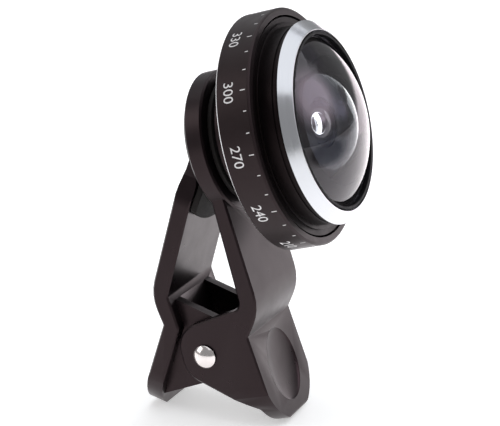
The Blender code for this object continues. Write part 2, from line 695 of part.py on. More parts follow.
def lens_body(axis, metal):
    """Wide band and its back wall, turned in one piece."""
    hub = SPIGOT_RADIUS + SIDE_GAP
    chamfer = EDGE_CHAMFER
    step = NECK_RADIUS + 0.6 * (BAND_RADIUS - NECK_RADIUS)
    inside = BAND_RADIUS - BAND_WALL
    front_wall = BAND_BACK + BACK_WALL
    profile = [
        (BAND_BACK, hub),
        (BAND_BACK, step),
        (BAND_BACK + BACK_STEP, step + BACK_STEP),
        (BAND_BACK + BACK_STEP, BAND_RADIUS - 2 * chamfer),
        (BAND_BACK, BAND_RADIUS - chamfer),
        (BAND_BACK + chamfer, BAND_RADIUS),
        (BAND_FRONT - chamfer, BAND_RADIUS),
        (BAND_FRONT, BAND_RADIUS - chamfer),
        (BAND_FRONT, inside),
        (front_wall, inside),
        (front_wall, hub),
    ]
    return turned("lens_body", profile, axis, metal)


def front_barrel(axis, metal):
    """Barrel that carries the front glass, with a flange that fills the band's mouth."""
    flange = BAND_RADIUS - BAND_WALL - SIDE_GAP
    flange_front = BAND_FRONT - EDGE_CHAMFER / 2
    flange_back = flange_front - FLANGE_DEPTH
    profile = [
        (BARREL_BACK, BARREL_BORE),
        (BARREL_BACK, BARREL_RADIUS),
        (flange_back, BARREL_RADIUS),
        (flange_back, flange),
        (flange_front, flange),
        (flange_front, BARREL_STEP_RADIUS),
        (flange_front + BARREL_STEP_HEIGHT, BARREL_STEP_RADIUS),
        (flange_front + BARREL_STEP_HEIGHT, BARREL_RADIUS),
        (BARREL_FRONT, BARREL_RADIUS),
        (BARREL_FRONT, BARREL_BORE),
        (SHELF_FRONT, BARREL_BORE),
        (SHELF_FRONT, SHELF_RADIUS),
        (SHELF_BACK, SHELF_RADIUS),
        (SHELF_BACK, BARREL_BORE),
    ]
    return turned("front_barrel", profile, axis, metal)


def bezel_ring(axis, metal):
    """Bright turned ring with a broad bevel round the front glass."""
    inner = BEZEL_LIP_RADIUS - BEZEL_WALL
    land = BEZEL_LENGTH - (BEZEL_RADIUS - BEZEL_LIP_RADIUS)
    profile = [
        (BEZEL_BACK, inner),
        (BEZEL_BACK, BEZEL_RADIUS),
        (BEZEL_BACK + max(land, LEAST_LAND), BEZEL_RADIUS),
        (BEZEL_FRONT, BEZEL_LIP_RADIUS),
        (BEZEL_FRONT, inner),
    ]
    return turned("bezel_ring", profile, axis, metal)


def dome_retainer(axis, metal):
    """Black threaded ring inside the bezel that holds the front glass down."""
    inner = RETAINER_RADIUS - RETAINER_WALL
    back = DOME_FRONT + cap_height(DOME_RADIUS, DOME_RISE, inner) + SEAT_GAP
    profile = [(back, inner), (back, RETAINER_RADIUS), (BEZEL_FRONT, RETAINER_RADIUS),
               (BEZEL_FRONT, inner)]
    return turned("dome_retainer", profile, axis, metal)


def front_dome(axis, glass):
    """Large front element: a shallow dome outside and a deep round hollow behind."""
    apex = DOME_FRONT + DOME_RISE
    hollow = DOME_HOLLOW_RADIUS
    centre = apex - DOME_CENTRE_THICKNESS - hollow
    widest = math.acos(max(0.0, min(1.0, (DOME_BACK - centre) / hollow)))
    profile = cap_arc(DOME_FRONT, DOME_RADIUS, DOME_RISE, 7)
    profile.append((DOME_BACK, DOME_RADIUS))
    steps = 7
    for step in range(steps + 1):
        angle = widest * (1 - step / steps)
        profile.append((centre + hollow * math.cos(angle), hollow * math.sin(angle)))
    profile[-1] = (profile[-1][0], 0.0)
    return turned("front_dome", profile, axis, glass)


def dome_gasket(axis, soft):
    """Thin seal between the front glass and its shelf."""
    outer = DOME_RADIUS
    inner = outer - GASKET_WIDTH
    front = GASKET_BACK + GASKET_THICKNESS
    profile = [(GASKET_BACK, inner), (GASKET_BACK, outer), (front, outer), (front, inner)]
    return turned("dome_gasket", profile, axis, soft)


def light_baffle(axis, black):
    """Flat black ring under the front glass, round the second element."""
    outer = DOME_RADIUS - GASKET_WIDTH - SIDE_GAP
    inner = SECOND_ELEMENT_RADIUS + CELL_LIP + SIDE_GAP
    back = GASKET_BACK
    front = back + BAFFLE_THICKNESS
    profile = [(back, inner), (back, outer), (front, outer), (front, inner)]
    return turned("light_baffle", profile, axis, black)


def lens_cell(axis, black):
    """Cell on the end of the rear barrel, with a nose that carries the second element."""
    seat = CELL_FRONT - CELL_LIP - SECOND_ELEMENT_EDGE - SEAT_GAP
    bore = SECOND_ELEMENT_RADIUS - CELL_LIP
    pocket = SECOND_ELEMENT_RADIUS + SIDE_GAP
    nose = pocket + CELL_NOSE_WALL
    profile = [
        (CELL_BACK, bore),
        (CELL_BACK, STACK_RADIUS),
        (CELL_FLANGE_BACK, STACK_RADIUS),
        (CELL_FLANGE_BACK, CELL_FLANGE_RADIUS),
        (CELL_FLANGE_FRONT, CELL_FLANGE_RADIUS),
        (CELL_FLANGE_FRONT, nose),
        (CELL_FRONT, nose),
        (CELL_FRONT, pocket),
        (seat, pocket),
        (seat, bore),
    ]
    return turned("lens_cell", profile, axis, black, SMALL_SEGMENTS)


def second_element(axis, glass):
    """Small steep dome that stands up into the front element's hollow."""
    back = CELL_FRONT - CELL_LIP - SECOND_ELEMENT_EDGE
    rim = back + SECOND_ELEMENT_EDGE
    profile = cap_arc(rim, SECOND_ELEMENT_RADIUS, SECOND_ELEMENT_RISE, 5)
    profile.append((back, SECOND_ELEMENT_RADIUS))
    profile += cap_arc(back, 0.7 * SECOND_ELEMENT_RADIUS, 0.45 * SECOND_ELEMENT_RISE, 3, False)
    return turned("second_element", profile, axis, glass, SMALL_SEGMENTS)


def aperture_stop(axis, black):
    """Thin plate with the small hole that sets how much light goes through."""
    front = STOP_BACK + STOP_THICKNESS
    profile = [(STOP_BACK, STOP_RADIUS), (STOP_BACK, STACK_RADIUS), (front, STACK_RADIUS),
               (front, STOP_RADIUS)]
    return turned("aperture_stop", profile, axis, black, SMALL_SEGMENTS)


def third_element(axis, glass):
    """Small lens that is round on its back and flat towards the stop."""
    back = THIRD_ELEMENT_BACK + LENS_BULGE
    front = THIRD_ELEMENT_BACK + THIRD_ELEMENT_THICKNESS
    profile = [(front, 0.0), (front, STACK_RADIUS), (back, STACK_RADIUS)]
    profile += cap_arc(back, STACK_RADIUS - SPACER_WALL, -LENS_BULGE, 4, False)
    return turned("third_element", profile, axis, glass, SMALL_SEGMENTS)


def element_spacer(axis, black):
    """Ring that keeps the two rear elements apart."""
    front = SPACER_BACK + SPACER_LENGTH + LENS_BULGE
    inner = STACK_RADIUS - SPACER_WALL + SIDE_GAP
    profile = [(SPACER_BACK, inner), (SPACER_BACK, STACK_RADIUS), (front, STACK_RADIUS),
               (front, inner)]
    return turned("element_spacer", profile, axis, black, SMALL_SEGMENTS)


def rear_element(axis, glass):
    """Last lens, flat towards the phone's camera and round inside."""
    back = REAR_ELEMENT_BACK
    rim = back + REAR_ELEMENT_THICKNESS - LENS_BULGE
    profile = cap_arc(rim, STACK_RADIUS - SPACER_WALL, LENS_BULGE, 4)
    profile += [(rim, STACK_RADIUS), (back, STACK_RADIUS), (back, 0.0)]
    return turned("rear_element", profile, axis, glass, SMALL_SEGMENTS)


def world_points(pieces):
    """Every point of the finished pieces, in the frame of the empty that carries them."""
    bpy.context.view_layer.update()
    depsgraph = bpy.context.evaluated_depsgraph_get()
    points = {}
    for piece in pieces:
        evaluated = piece.evaluated_get(depsgraph)
        mesh = evaluated.to_mesh()
        points[piece.name] = [piece.matrix_world @ vertex.co for vertex in mesh.vertices]
        evaluated.to_mesh_clear()
    return points


def standing_lean(front, rear):
    """The angle that brings both handle ends down to one level, by halving."""
    def drop(angle):
        sine, cosine = math.sin(angle), math.cos(angle)
        lows = [min(p.x * sine + p.z * cosine for p in side) for side in (front, rear)]
        return lows[0] - lows[1]
    low, high = math.radians(-20), math.radians(60)
    for _ in range(50):
        middle = (low + high) / 2
        if drop(middle) > 0:
            high = middle
        else:
            low = middle
    return (low + high) / 2


def stand_up(root, pieces):
    """Leans the clip onto its two feet, with the origin under the middle of its box."""
    points = world_points(pieces)
    lean = standing_lean(points["front_jaw"], points["rear_jaw"])
    root.rotation_euler = (0.0, -lean, 0.0)
    turn = Matrix.Rotation(-lean, 3, "Y")
    every = [turn @ point for side in points.values() for point in side]
    low = [min(point[axis] for point in every) for axis in range(3)]
    high = [max(point[axis] for point in every) for axis in range(3)]
    root.location = (-(low[0] + high[0]) / 2, -(low[1] + high[1]) / 2, -low[2])


def main():
    for old in list(bpy.data.objects):
        bpy.data.objects.remove(old, do_unlink=True)

    plastic = material("clip_plastic", (0.035, 0.031, 0.032), 0.42)
    black_metal = material("anodised_black", (0.022, 0.020, 0.021), 0.34, 0.6)
    bright = material("bright_ring", (0.78, 0.80, 0.83), 0.28, 1.0)
    glass = material("lens_glass", (0.80, 0.84, 0.92), 0.02, 0.0, 0.9)
    inner_black = material("inner_black", (0.03, 0.03, 0.035), 0.55)
    soft = material("soft_pad", (0.025, 0.022, 0.020), 0.85)
    steel = material("pin_steel", (0.72, 0.72, 0.72), 0.18, 1.0)
    wire = material("spring_steel", (0.42, 0.42, 0.43), 0.30, 1.0)

    stand = empty("clip_frame", None, (0.0, 0.0, 0.0))
    pivot = (-RING_SETBACK, 0.0, -LENS_HEIGHT)
    front_axis = empty("front_jaw_axis", stand, pivot)
    rear_axis = empty("rear_jaw_axis", stand, pivot, JAW_ANGLE)
    lens_axis = empty("lens_axis", stand, (0.0, 0.0, 0.0))

    pieces = [
        front_jaw(front_axis, plastic),
        hinge_pin(front_axis, steel),
        torsion_spring(front_axis, wire),
        rear_jaw(rear_axis, plastic),
        rear_jaw_pad(rear_axis, soft),
        ring_pad(lens_axis, soft),
        seat_washer(lens_axis, soft),
        rear_barrel(lens_axis, black_metal),
        lens_body(lens_axis, black_metal),
        front_barrel(lens_axis, black_metal),
        bezel_ring(lens_axis, bright),
        dome_retainer(lens_axis, inner_black),
        front_dome(lens_axis, glass),
        dome_gasket(lens_axis, soft),
        light_baffle(lens_axis, inner_black),
        lens_cell(lens_axis, inner_black),
        second_element(lens_axis, glass),
        aperture_stop(lens_axis, inner_black),
        third_element(lens_axis, glass),
        element_spacer(lens_axis, inner_black),
        rear_element(lens_axis, glass),
    ]
    stand_up(stand, pieces)


main()
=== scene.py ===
"""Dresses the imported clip-on phone lens: finer turned rings, glass, jaws, pads, spring and studio.

The lens pieces are drawn in the lens frame, with x along the lens axis from the back of the clip's
ring and z up the front jaw. The pin and the spring are drawn round the hinge. Both are then put in
the row frame, so every piece's object stays at the origin.
"""

import json
import math
from collections import namedtuple

import bmesh
import bpy
from bpy.props import BoolProperty, FloatProperty, FloatVectorProperty, IntProperty, PointerProperty
from mathutils import Matrix, Vector


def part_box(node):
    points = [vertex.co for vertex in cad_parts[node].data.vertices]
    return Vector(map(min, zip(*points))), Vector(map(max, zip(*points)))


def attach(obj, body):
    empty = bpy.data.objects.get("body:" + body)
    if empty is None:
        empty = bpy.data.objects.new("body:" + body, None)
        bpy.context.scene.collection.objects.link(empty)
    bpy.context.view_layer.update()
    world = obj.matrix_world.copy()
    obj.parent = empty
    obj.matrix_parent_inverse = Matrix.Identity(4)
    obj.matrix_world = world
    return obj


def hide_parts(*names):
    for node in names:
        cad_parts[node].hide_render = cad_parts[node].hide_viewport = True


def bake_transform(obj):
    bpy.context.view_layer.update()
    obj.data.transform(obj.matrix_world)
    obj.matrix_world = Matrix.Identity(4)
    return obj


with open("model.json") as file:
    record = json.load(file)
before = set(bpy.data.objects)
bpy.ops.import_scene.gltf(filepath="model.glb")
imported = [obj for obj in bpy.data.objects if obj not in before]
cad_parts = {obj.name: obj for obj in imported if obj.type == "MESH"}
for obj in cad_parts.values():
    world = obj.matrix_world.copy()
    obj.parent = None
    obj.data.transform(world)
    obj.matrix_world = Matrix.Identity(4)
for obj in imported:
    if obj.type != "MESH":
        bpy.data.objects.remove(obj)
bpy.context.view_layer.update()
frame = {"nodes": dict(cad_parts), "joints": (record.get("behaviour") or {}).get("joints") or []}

bl_info = {
    "name": "Clip-on phone lens",
    "version": (1, 0, 0),
    "blender": (4, 5, 0),
    "location": "View3D > Sidebar > Clip Lens",
    "description": "Builds the visual model of a clip-on phone lens round its packed CAD frame",
    "category": "Add Mesh",
}

MM = 0.001

JOINTS = {joint["name"]: joint for joint in frame["joints"]}
LENS_ORIGIN = Vector(JOINTS["lens_turn"]["pos_m"])
LENS_AXIS = Vector(JOINTS["lens_turn"]["axis"])
HINGE = Vector(JOINTS["jaw_hinge"]["pos_m"])
LEAN = math.atan2(LENS_AXIS.z, LENS_AXIS.x)

# From the lens frame, and from the front jaw's hinge frame, to the row frame
LENS_PLACE = Matrix.Translation(LENS_ORIGIN) @ Matrix.Rotation(-LEAN, 4, "Y")
HINGE_PLACE = Matrix.Translation(HINGE) @ Matrix.Rotation(-LEAN, 4, "Y")
TO_LENS = LENS_PLACE.inverted()

# Sizes of the solids that a node's box and radii don't give
GAP = 0.3 * MM
JAW_ANGLE = math.radians(30.7)
HANDLE_FACE = 8.75 * MM
HANDLE_THICKNESS = 3.0 * MM
HANDLE_ROOT = 2.2 * MM
HANDLE_LEAN = math.radians(2.6)
PIN_RADIUS = 1.5 * MM
PIN_HEAD_HEIGHT = 0.95 * MM
PIN_TAIL_RADIUS = 1.9 * MM
PIN_TAIL_HEIGHT = 0.57 * MM
COIL_WHOLE_TURNS = 4
THREAD_RADIUS = 8.5 * MM
THREAD_PITCH = 0.75 * MM
RING_THREAD_BACK = 0.6 * MM
RING_THREAD_FRONT = 3.3 * MM
NECK_RADIUS = 10.4 * MM
NECK_LENGTH = 5.3 * MM
SPIGOT_RADIUS = 8.6 * MM
SPIGOT_LENGTH = 1.9 * MM
POCKET_RADIUS = 6.6 * MM
POCKET_WALL = 1.1 * MM
BACK_WALL = 1.4 * MM
BACK_STEP = 0.4 * MM
EDGE_CHAMFER = 0.3 * MM
BARREL_RADIUS = 16.5 * MM
BARREL_STEP_RADIUS = 17.2 * MM
BARREL_STEP_HEIGHT = 0.35 * MM
FLANGE_DEPTH = 1.1 * MM
SHELF_THICKNESS = 1.0 * MM
DOME_RISE = 6.0 * MM
DOME_HOLLOW_RADIUS = 11.6 * MM
DOME_CENTRE_THICKNESS = 1.4 * MM
SECOND_RISE = 2.3 * MM
SECOND_EDGE = 1.0 * MM
BULGE_HEIGHT = 0.7 * MM
BULGE_RADIUS = 5.2 * MM
CELL_RADIUS = 6.3 * MM
CELL_NOSE_WALL = 0.8 * MM
CELL_FLANGE = 1.0 * MM

# Steps round the smaller pieces, and across the faces of the glass
NECK_SEGMENTS = 128
SMALL_SEGMENTS = 96
WIRE_SEGMENTS = 16
COIL_STEP = math.radians(8)
DOME_STEPS = 40
HOLLOW_STEPS = 32
SECOND_STEPS = 24
BULGE_STEPS = 12

Seat = namedtuple("Seat", "back front inner outer")
Softbox = namedtuple("Softbox", "name place target size radiance tone glossy", defaults=(True,))
Card = namedtuple("Card", "name azimuth elevation span radiance tone distance edge",
                  defaults=(0.55, 0.35))

# The lamps, in metres
SOFTBOXES = (
    Softbox("roof_softbox", (0.06, 0.10, 0.50), (0.0, 0.0, 0.0), (0.95, 0.80), 0.78,
            (0.93, 0.96, 1.0)),
    Softbox("left_softbox", (-0.45, -0.25, 0.30), (0.0, 0.0, 0.05), (0.35, 0.35), 1.6,
            (1.0, 0.98, 0.97)),
    Softbox("back_softbox", (0.10, 0.75, 0.22), (0.0, 0.0, 0.05), (0.9, 0.42), 2.6,
            (1.0, 1.0, 1.0), False),
)

# Cards that the glass and the metal mirror: where they stand and how wide and high they look from
# the part, in degrees, then their glow, their distance in metres and the share that fades out.
# The one that lies on the table has its width and length in metres.
CARDS = (
    Card("right_glow_card", 108.0, 29.0, (60.0, 54.0), 2.6, (1.0, 0.90, 1.0)),
    Card("right_dark_card", 102.0, -8.0, (66.0, 26.0), 0.08, (0.9, 0.85, 1.0), 0.17),
    Card("back_glow_card", 184.0, -12.0, (86.0, 43.0), 2.3, (1.0, 0.93, 0.97), 0.30, 0.08),
    Card("high_back_card", 202.0, 38.0, (50.0, 44.0), 1.5, (0.96, 0.97, 1.0)),
    Card("high_dark_card", 156.0, 40.0, (44.0, 30.0), 0.30, (0.9, 0.9, 1.0)),
)
FLOOR_CARD = Card("floor_glow_card", 185.0, 0.0, (0.56, 0.90), 2.5, (1.0, 0.95, 0.97), 0.35)
FLOOR_CARD_HEIGHT = 0.2 * MM
CARD_CENTRE = Vector((0.0, 0.0, 0.05))
TABLE_HALF = 3.0
ROOM_TONE = (0.97, 0.98, 1.0, 1.0)


def seat(node_name):
    """Where a turned CAD node starts and ends along the lens axis, and its two radii."""
    points = [TO_LENS @ vertex.co for vertex in frame["nodes"][node_name].data.vertices]
    radii = [math.hypot(point.y, point.z) for point in points]
    along = [point.x for point in points]
    return Seat(min(along), max(along), min(radii), max(radii))


def length(name, description, default):
    """A size property in metres."""
    return FloatProperty(name=name, description=description, default=default, min=0.0, max=0.1,
                         precision=5, subtype="DISTANCE", unit="LENGTH")


def angle(name, description, degrees):
    """An angle property."""
    return FloatProperty(name=name, description=description, default=math.radians(degrees),
                         subtype="ANGLE")


def share(name, description, default, high=1.0):
    """A property from 0 to high."""
    return FloatProperty(name=name, description=description, default=default, min=0.0, max=high)


def colour(name, description, default):
    """A colour property."""
    return FloatVectorProperty(name=name, description=description, default=default, size=3,
                               min=0.0, max=1.0, subtype="COLOR")


class LensSizes(bpy.types.PropertyGroup):
    """Sizes of the turned rings and the scale on the band."""
    segments: IntProperty(name="Segments", description="Steps round a large ring", default=192,
                          min=48, max=384)
    softness: length("Edge softness", "Rounding of the turned edges", 0.08 * MM)
    band_chamfer: length("Band chamfer", "Bevel on both edges of the band", 0.3 * MM)
    band_wall: length("Band wall", "Thickness of the band's rim", 1.3 * MM)
    figure_height: length("Figure height", "Height of the scale's figures", 1.75 * MM)
    tick_length: length("Tick length", "Length of the scale's longer lines", 0.9 * MM)
    print_thickness: length("Print thickness", "How far the scale stands proud", 0.012 * MM)


class ClipSizes(bpy.types.PropertyGroup):
    """Sizes of the spring and the soft edges of the clip."""
    wire_radius: length("Wire radius", "Half the thickness of the spring wire", 0.5 * MM)
    coil_radius: length("Coil radius", "Middle radius of the spring's coil", 3.0 * MM)
    coil_pitch: length("Coil pitch", "Advance of the coil in a turn", 1.3 * MM)
    leg_reach: length("Leg reach", "How far the legs go down the handles", 10.0 * MM)
    pad_softness: length("Pad softness", "Rounding of the soft pads' edges", 0.22 * MM)
    edge_softness: length("Jaw edges", "Rounding of the moulded jaws' edges", 0.14 * MM)


class Finishes(bpy.types.PropertyGroup):
    """Colours and gloss of the materials."""
    plastic: colour("Plastic", "Moulded clip plastic", (0.0060, 0.0042, 0.0050))
    anodised: colour("Anodised metal", "Black band and barrels", (0.0065, 0.0048, 0.0050))
    bright: colour("Bright metal", "Turned ring round the glass", (0.74, 0.75, 0.78))
    inner: colour("Inner black", "Rings and walls behind the glass", (0.0035, 0.0034, 0.0045))
    rubber: colour("Rubber", "Soft pads", (0.0085, 0.0060, 0.0055))
    steel: colour("Steel", "Hinge pin", (0.88, 0.82, 0.80))
    wire: colour("Spring wire", "Torsion spring", (0.42, 0.42, 0.43))
    paint: colour("Print", "Figures on the band", (0.84, 0.82, 0.82))
    sheen: colour("Black gloss", "Warm tint of the reflections on the black pieces",
                  (0.94, 0.68, 0.71))
    barrel_tone: share("Barrel gloss", "Strength of the reflections on the front barrel", 0.24)
    hollow_coating: colour("Hollow coating", "Tint of the reflections inside the front element",
                           (0.22, 0.24, 0.34))
    ground: colour("Ground rim", "Blackened ground rim and edge of the glass",
                   (0.0100, 0.0086, 0.0086))
    coating: colour("Coating", "Tint of the reflections on the coated glass", (0.97, 0.90, 0.97))
    cut_edge: colour("Cut edge", "Bare metal where the band's back edge is cut",
                     (0.72, 0.71, 0.72))
    floor: colour("Floor", "Table under the part", (0.90, 0.90, 0.90))


class StageSettings(bpy.types.PropertyGroup):
    """Camera and lights."""
    camera_place: FloatVectorProperty(
        name="Camera place", description="Where the camera stands", size=3, subtype="XYZ",
        unit="LENGTH", precision=5, default=(0.115506, -0.262780, 0.118918))
    camera_azimuth: angle("Azimuth", "Turn of the view about the part", 23.947)
    camera_elevation: angle("Elevation", "Height of the view", 16.242)
    camera_roll: angle("Roll", "Tilt of the picture", -0.950)
    focal_length: FloatProperty(name="Focal length", description="Lens of the camera in mm",
                                default=128.012, min=10.0)
    room: share("Room", "Brightness of the room round the table", 0.30, 5.0)
    floor_glow: share("Floor glow", "Light that the table gives of itself", 0.45, 5.0)
    shadows: BoolProperty(name="Glass shadows", description="Let the glass darken what it covers",
                          default=False)


def settings():
    """The scene's own copy of the properties."""
    scene = bpy.context.scene
    return scene.clip_lens_sizes, scene.clip_sizes, scene.clip_finishes, scene.clip_stage


# Materials

def feed(tree, socket, value):
    """Links another node's output to a socket, or gives the socket an even value."""
    if isinstance(value, bpy.types.NodeSocket):
        tree.links.new(value, socket)
    else:
        socket.default_value = value


def node(tree, kind, **values):
    """Adds a shader node, with its settings and what its sockets are fed."""
    made = tree.nodes.new(kind)
    for name, value in values.items():
        if name in made.bl_rna.properties:
            setattr(made, name, value)
        else:
            feed(tree, made.inputs[name.replace("_", " ")], value)
    return made


def object_place(tree):
    """Object coordinates, which are the row frame's metres on every piece."""
    return node(tree, "ShaderNodeTexCoord").outputs["Object"]


def axial_place(tree):
    """Distance along the lens axis and from it, so that a pattern runs round the axis."""
    mapping = node(tree, "ShaderNodeMapping", vector_type="TEXTURE", Vector=object_place(tree),
                   Location=LENS_ORIGIN, Rotation=(0.0, -LEAN, 0.0))
    split = node(tree, "ShaderNodeSeparateXYZ", Vector=mapping.outputs["Vector"]).outputs
    flat = node(tree, "ShaderNodeCombineXYZ", Y=split["Y"], Z=split["Z"])
    radius = node(tree, "ShaderNodeVectorMath", operation="LENGTH", Vector=flat.outputs["Vector"])
    joined = node(tree, "ShaderNodeCombineXYZ", X=split["X"], Y=radius.outputs["Value"])
    return joined.outputs["Vector"]


def noise(tree, place, grain, detail, distortion=0.0):
    """Noise whose lumps are about so many mm across."""
    made = node(tree, "ShaderNodeTexNoise", Vector=place(tree), Scale=1.0 / (grain * MM),
                Detail=detail, Roughness=0.55, Distortion=distortion)
    return made.outputs["Fac"]


def spread(tree, value, low, high, start=0.3, end=0.7):
    """Maps a noise value to a range."""
    return node(tree, "ShaderNodeMapRange", Value=value, From_Min=start, From_Max=end, To_Min=low,
                To_Max=high).outputs["Result"]


def tint(tree, value, first, second):
    """A colour between two by a value."""
    return node(tree, "ShaderNodeMix", data_type="RGBA", Factor=value, A=(*first, 1.0),
                B=(*second, 1.0)).outputs["Result"]


def scaled(base, factor):
    """A colour made lighter or darker."""
    return tuple(min(1.0, channel * factor) for channel in base)


def surface(name, base, patterns, shade=None, rough=None, bumps=(), **sockets):
    """A Principled material whose colour, roughness and height follow noise patterns.

    Each pattern has a name and its coordinates, grain in mm and detail. The rest starts with the
    name of a pattern: shade and rough give the ends of its range, a bump its strength and its
    depth in mm.
    """
    made = bpy.data.materials.new(name)
    made.use_nodes = True
    made.diffuse_color = (*base, 1.0)
    tree = made.node_tree
    fields = {key: noise(tree, *recipe) for key, recipe in patterns.items()}
    sockets["Base_Color"] = (*base, 1.0)
    if shade:
        field, dark, light = shade
        sockets["Base_Color"] = tint(tree, fields[field], scaled(base, dark), scaled(base, light))
    if rough:
        field, low, high = rough
        sockets["Roughness"] = spread(tree, fields[field], low, high)
    normal = {}
    for field, strength, depth in bumps:
        bump = node(tree, "ShaderNodeBump", Strength=strength, Distance=depth * MM,
                    Height=fields[field], **normal)
        normal = {"Normal": bump.outputs["Normal"]}
    shader = tree.nodes["Principled BSDF"]
    for socket, value in (sockets | normal).items():
        feed(tree, shader.inputs[socket.replace("_", " ")], value)
    return made


def moulded_plastic(name, finishes):
    """Satin black plastic with a very fine moulded grain and faint cloudiness."""
    patterns = {"clouds": (object_place, 3.5, 4.0), "fine": (object_place, 0.16, 2.0)}
    return surface(name, finishes.plastic, patterns, ("clouds", 0.86, 1.18),
                   ("clouds", 0.27, 0.35), (("fine", 0.16, 0.01), ("clouds", 0.05, 0.05)),
                   IOR=1.42, Specular_Tint=(*finishes.sheen, 1.0))


def anodised_metal(name, finishes, tone=1.0, gloss=0.5):
    """Blasted and anodised black metal: satin, with a fine even grain."""
    patterns = {"fine": (object_place, 0.11, 2.0), "patches": (object_place, 2.2, 5.0),
                "lines": (axial_place, 0.07, 1.0)}
    return surface(name, scaled(finishes.anodised, tone), patterns, ("fine", 0.55, 1.5),
                   ("patches", 0.34, 0.44), (("fine", 0.30, 0.012), ("lines", 0.06, 0.004)),
                   IOR=1.48, Specular_IOR_Level=gloss,
                   Specular_Tint=(*scaled(finishes.sheen, 0.82), 1.0))


def bright_metal(name, finishes):
    """Bright ring cut on a lathe, with fine tool lines that run round it."""
    patterns = {"lines": (axial_place, 0.09, 3.0), "bands": (axial_place, 0.5, 2.0),
                "speckle": (object_place, 0.12, 1.0)}
    return surface(name, finishes.bright, patterns, ("lines", 0.88, 1.06), ("bands", 0.13, 0.22),
                   (("lines", 0.12, 0.006), ("speckle", 0.05, 0.006)), Metallic=1.0)


def inner_black(name, finishes):
    """Dull black paint with a trace of the lathe's lines."""
    patterns = {"lines": (axial_place, 0.4, 2.0), "dust": (object_place, 1.6, 3.0)}
    return surface(name, finishes.inner, patterns, ("dust", 0.8, 1.3), ("dust", 0.48, 0.60),
                   (("lines", 0.04, 0.004),), IOR=1.45, Specular_IOR_Level=0.22)


def coated_glass(name, body, coating, index, roughness):
    """Polished, coated lens glass with a faint bloom of dust."""
    return surface(name, body, {"dust": (object_place, 1.4, 5.0)},
                   rough=("dust", roughness, roughness * 3), IOR=index, Transmission_Weight=1.0,
                   Specular_Tint=(*coating, 1.0))


def front_glass(name, coating):
    """The front element's dense glass, under one of its coatings."""
    return coated_glass(name, (0.97, 0.98, 1.0), coating, 1.72, 0.004)


def ground_glass(name, finishes):
    """Ground and blackened rim of an element, as it shows through its polished face."""
    return surface(name, finishes.ground, {"grain": (object_place, 1.5, 2.0)},
                   ("grain", 0.94, 1.04), ("grain", 0.7, 0.85), (("grain", 0.02, 0.01),), IOR=1.3)


def cut_edge_metal(name, finishes):
    """Bare metal of a diamond-cut edge, with fine lines round it."""
    return surface(name, finishes.cut_edge, {"lines": (axial_place, 0.05, 2.0)},
                   ("lines", 0.9, 1.05), ("lines", 0.22, 0.32), (("lines", 0.05, 0.004),),
                   Metallic=1.0)


def soft_rubber(name, finishes):
    """Matt rubber with a pebbled skin."""
    patterns = {"skin": (object_place, 0.22, 3.0), "clouds": (object_place, 2.5, 3.0)}
    return surface(name, finishes.rubber, patterns, ("clouds", 0.8, 1.25), ("skin", 0.62, 0.80),
                   (("skin", 0.35, 0.02),), IOR=1.48, Specular_IOR_Level=0.3,
                   Sheen_Weight=0.03, Sheen_Roughness=0.5)


def polished_steel(name, finishes):
    """Polished steel with hair-fine scratches."""
    return surface(name, finishes.steel, {"scratches": (object_place, 0.35, 6.0, 2.0)},
                   rough=("scratches", 0.13, 0.20), bumps=(("scratches", 0.03, 0.01),),
                   Metallic=1.0)


def drawn_wire(name, finishes):
    """Drawn spring wire, slightly oiled."""
    return surface(name, finishes.wire, {"streaks": (object_place, 0.25, 5.0, 1.0)},
                   ("streaks", 0.75, 1.2), ("streaks", 0.22, 0.36), (("streaks", 0.08, 0.01),),
                   Metallic=1.0)


def printed_paint(name, finishes):
    """Matt white print, a little uneven as screened ink is."""
    return surface(name, finishes.paint, {"ink": (object_place, 0.18, 3.0)},
                   ("ink", 0.86, 1.05), ("ink", 0.5, 0.65), (("ink", 0.1, 0.004),))


def table_surface(base, glow):
    """White light-table acrylic that glows a little."""
    return surface("white_table", base, {"haze": (object_place, 40, 2.0)},
                   ("haze", 0.995, 1.0), Roughness=0.75, Specular_IOR_Level=0.2,
                   Emission_Color=(1.0, 1.0, 1.0, 1.0), Emission_Strength=glow)


def card_glow(card, place, size):
    """Even glow that fades out towards the edges of a card."""
    made = bpy.data.materials.new(card.name)
    made.use_nodes = True
    tree = made.node_tree
    tree.nodes.clear()
    mapping = node(tree, "ShaderNodeMapping", vector_type="TEXTURE", Vector=object_place(tree),
                   Location=place.to_translation(), Rotation=place.to_euler(),
                   Scale=(size[0] / 2, size[1] / 2, 1.0))
    fade = node(tree, "ShaderNodeTexGradient", gradient_type="QUADRATIC_SPHERE",
                Vector=mapping.outputs["Vector"])
    clear = node(tree, "ShaderNodeBsdfTransparent")
    glow = node(tree, "ShaderNodeEmission", Color=(*card.tone, 1.0), Strength=card.radiance)
    mixed = node(tree, "ShaderNodeMixShader",
                 Fac=spread(tree, fade.outputs["Fac"], 0.0, 1.0, 0.0, card.edge))
    feed(tree, mixed.inputs[1], clear.outputs["BSDF"])
    feed(tree, mixed.inputs[2], glow.outputs["Emission"])
    node(tree, "ShaderNodeOutputMaterial", Surface=mixed.outputs["Shader"])
    return made


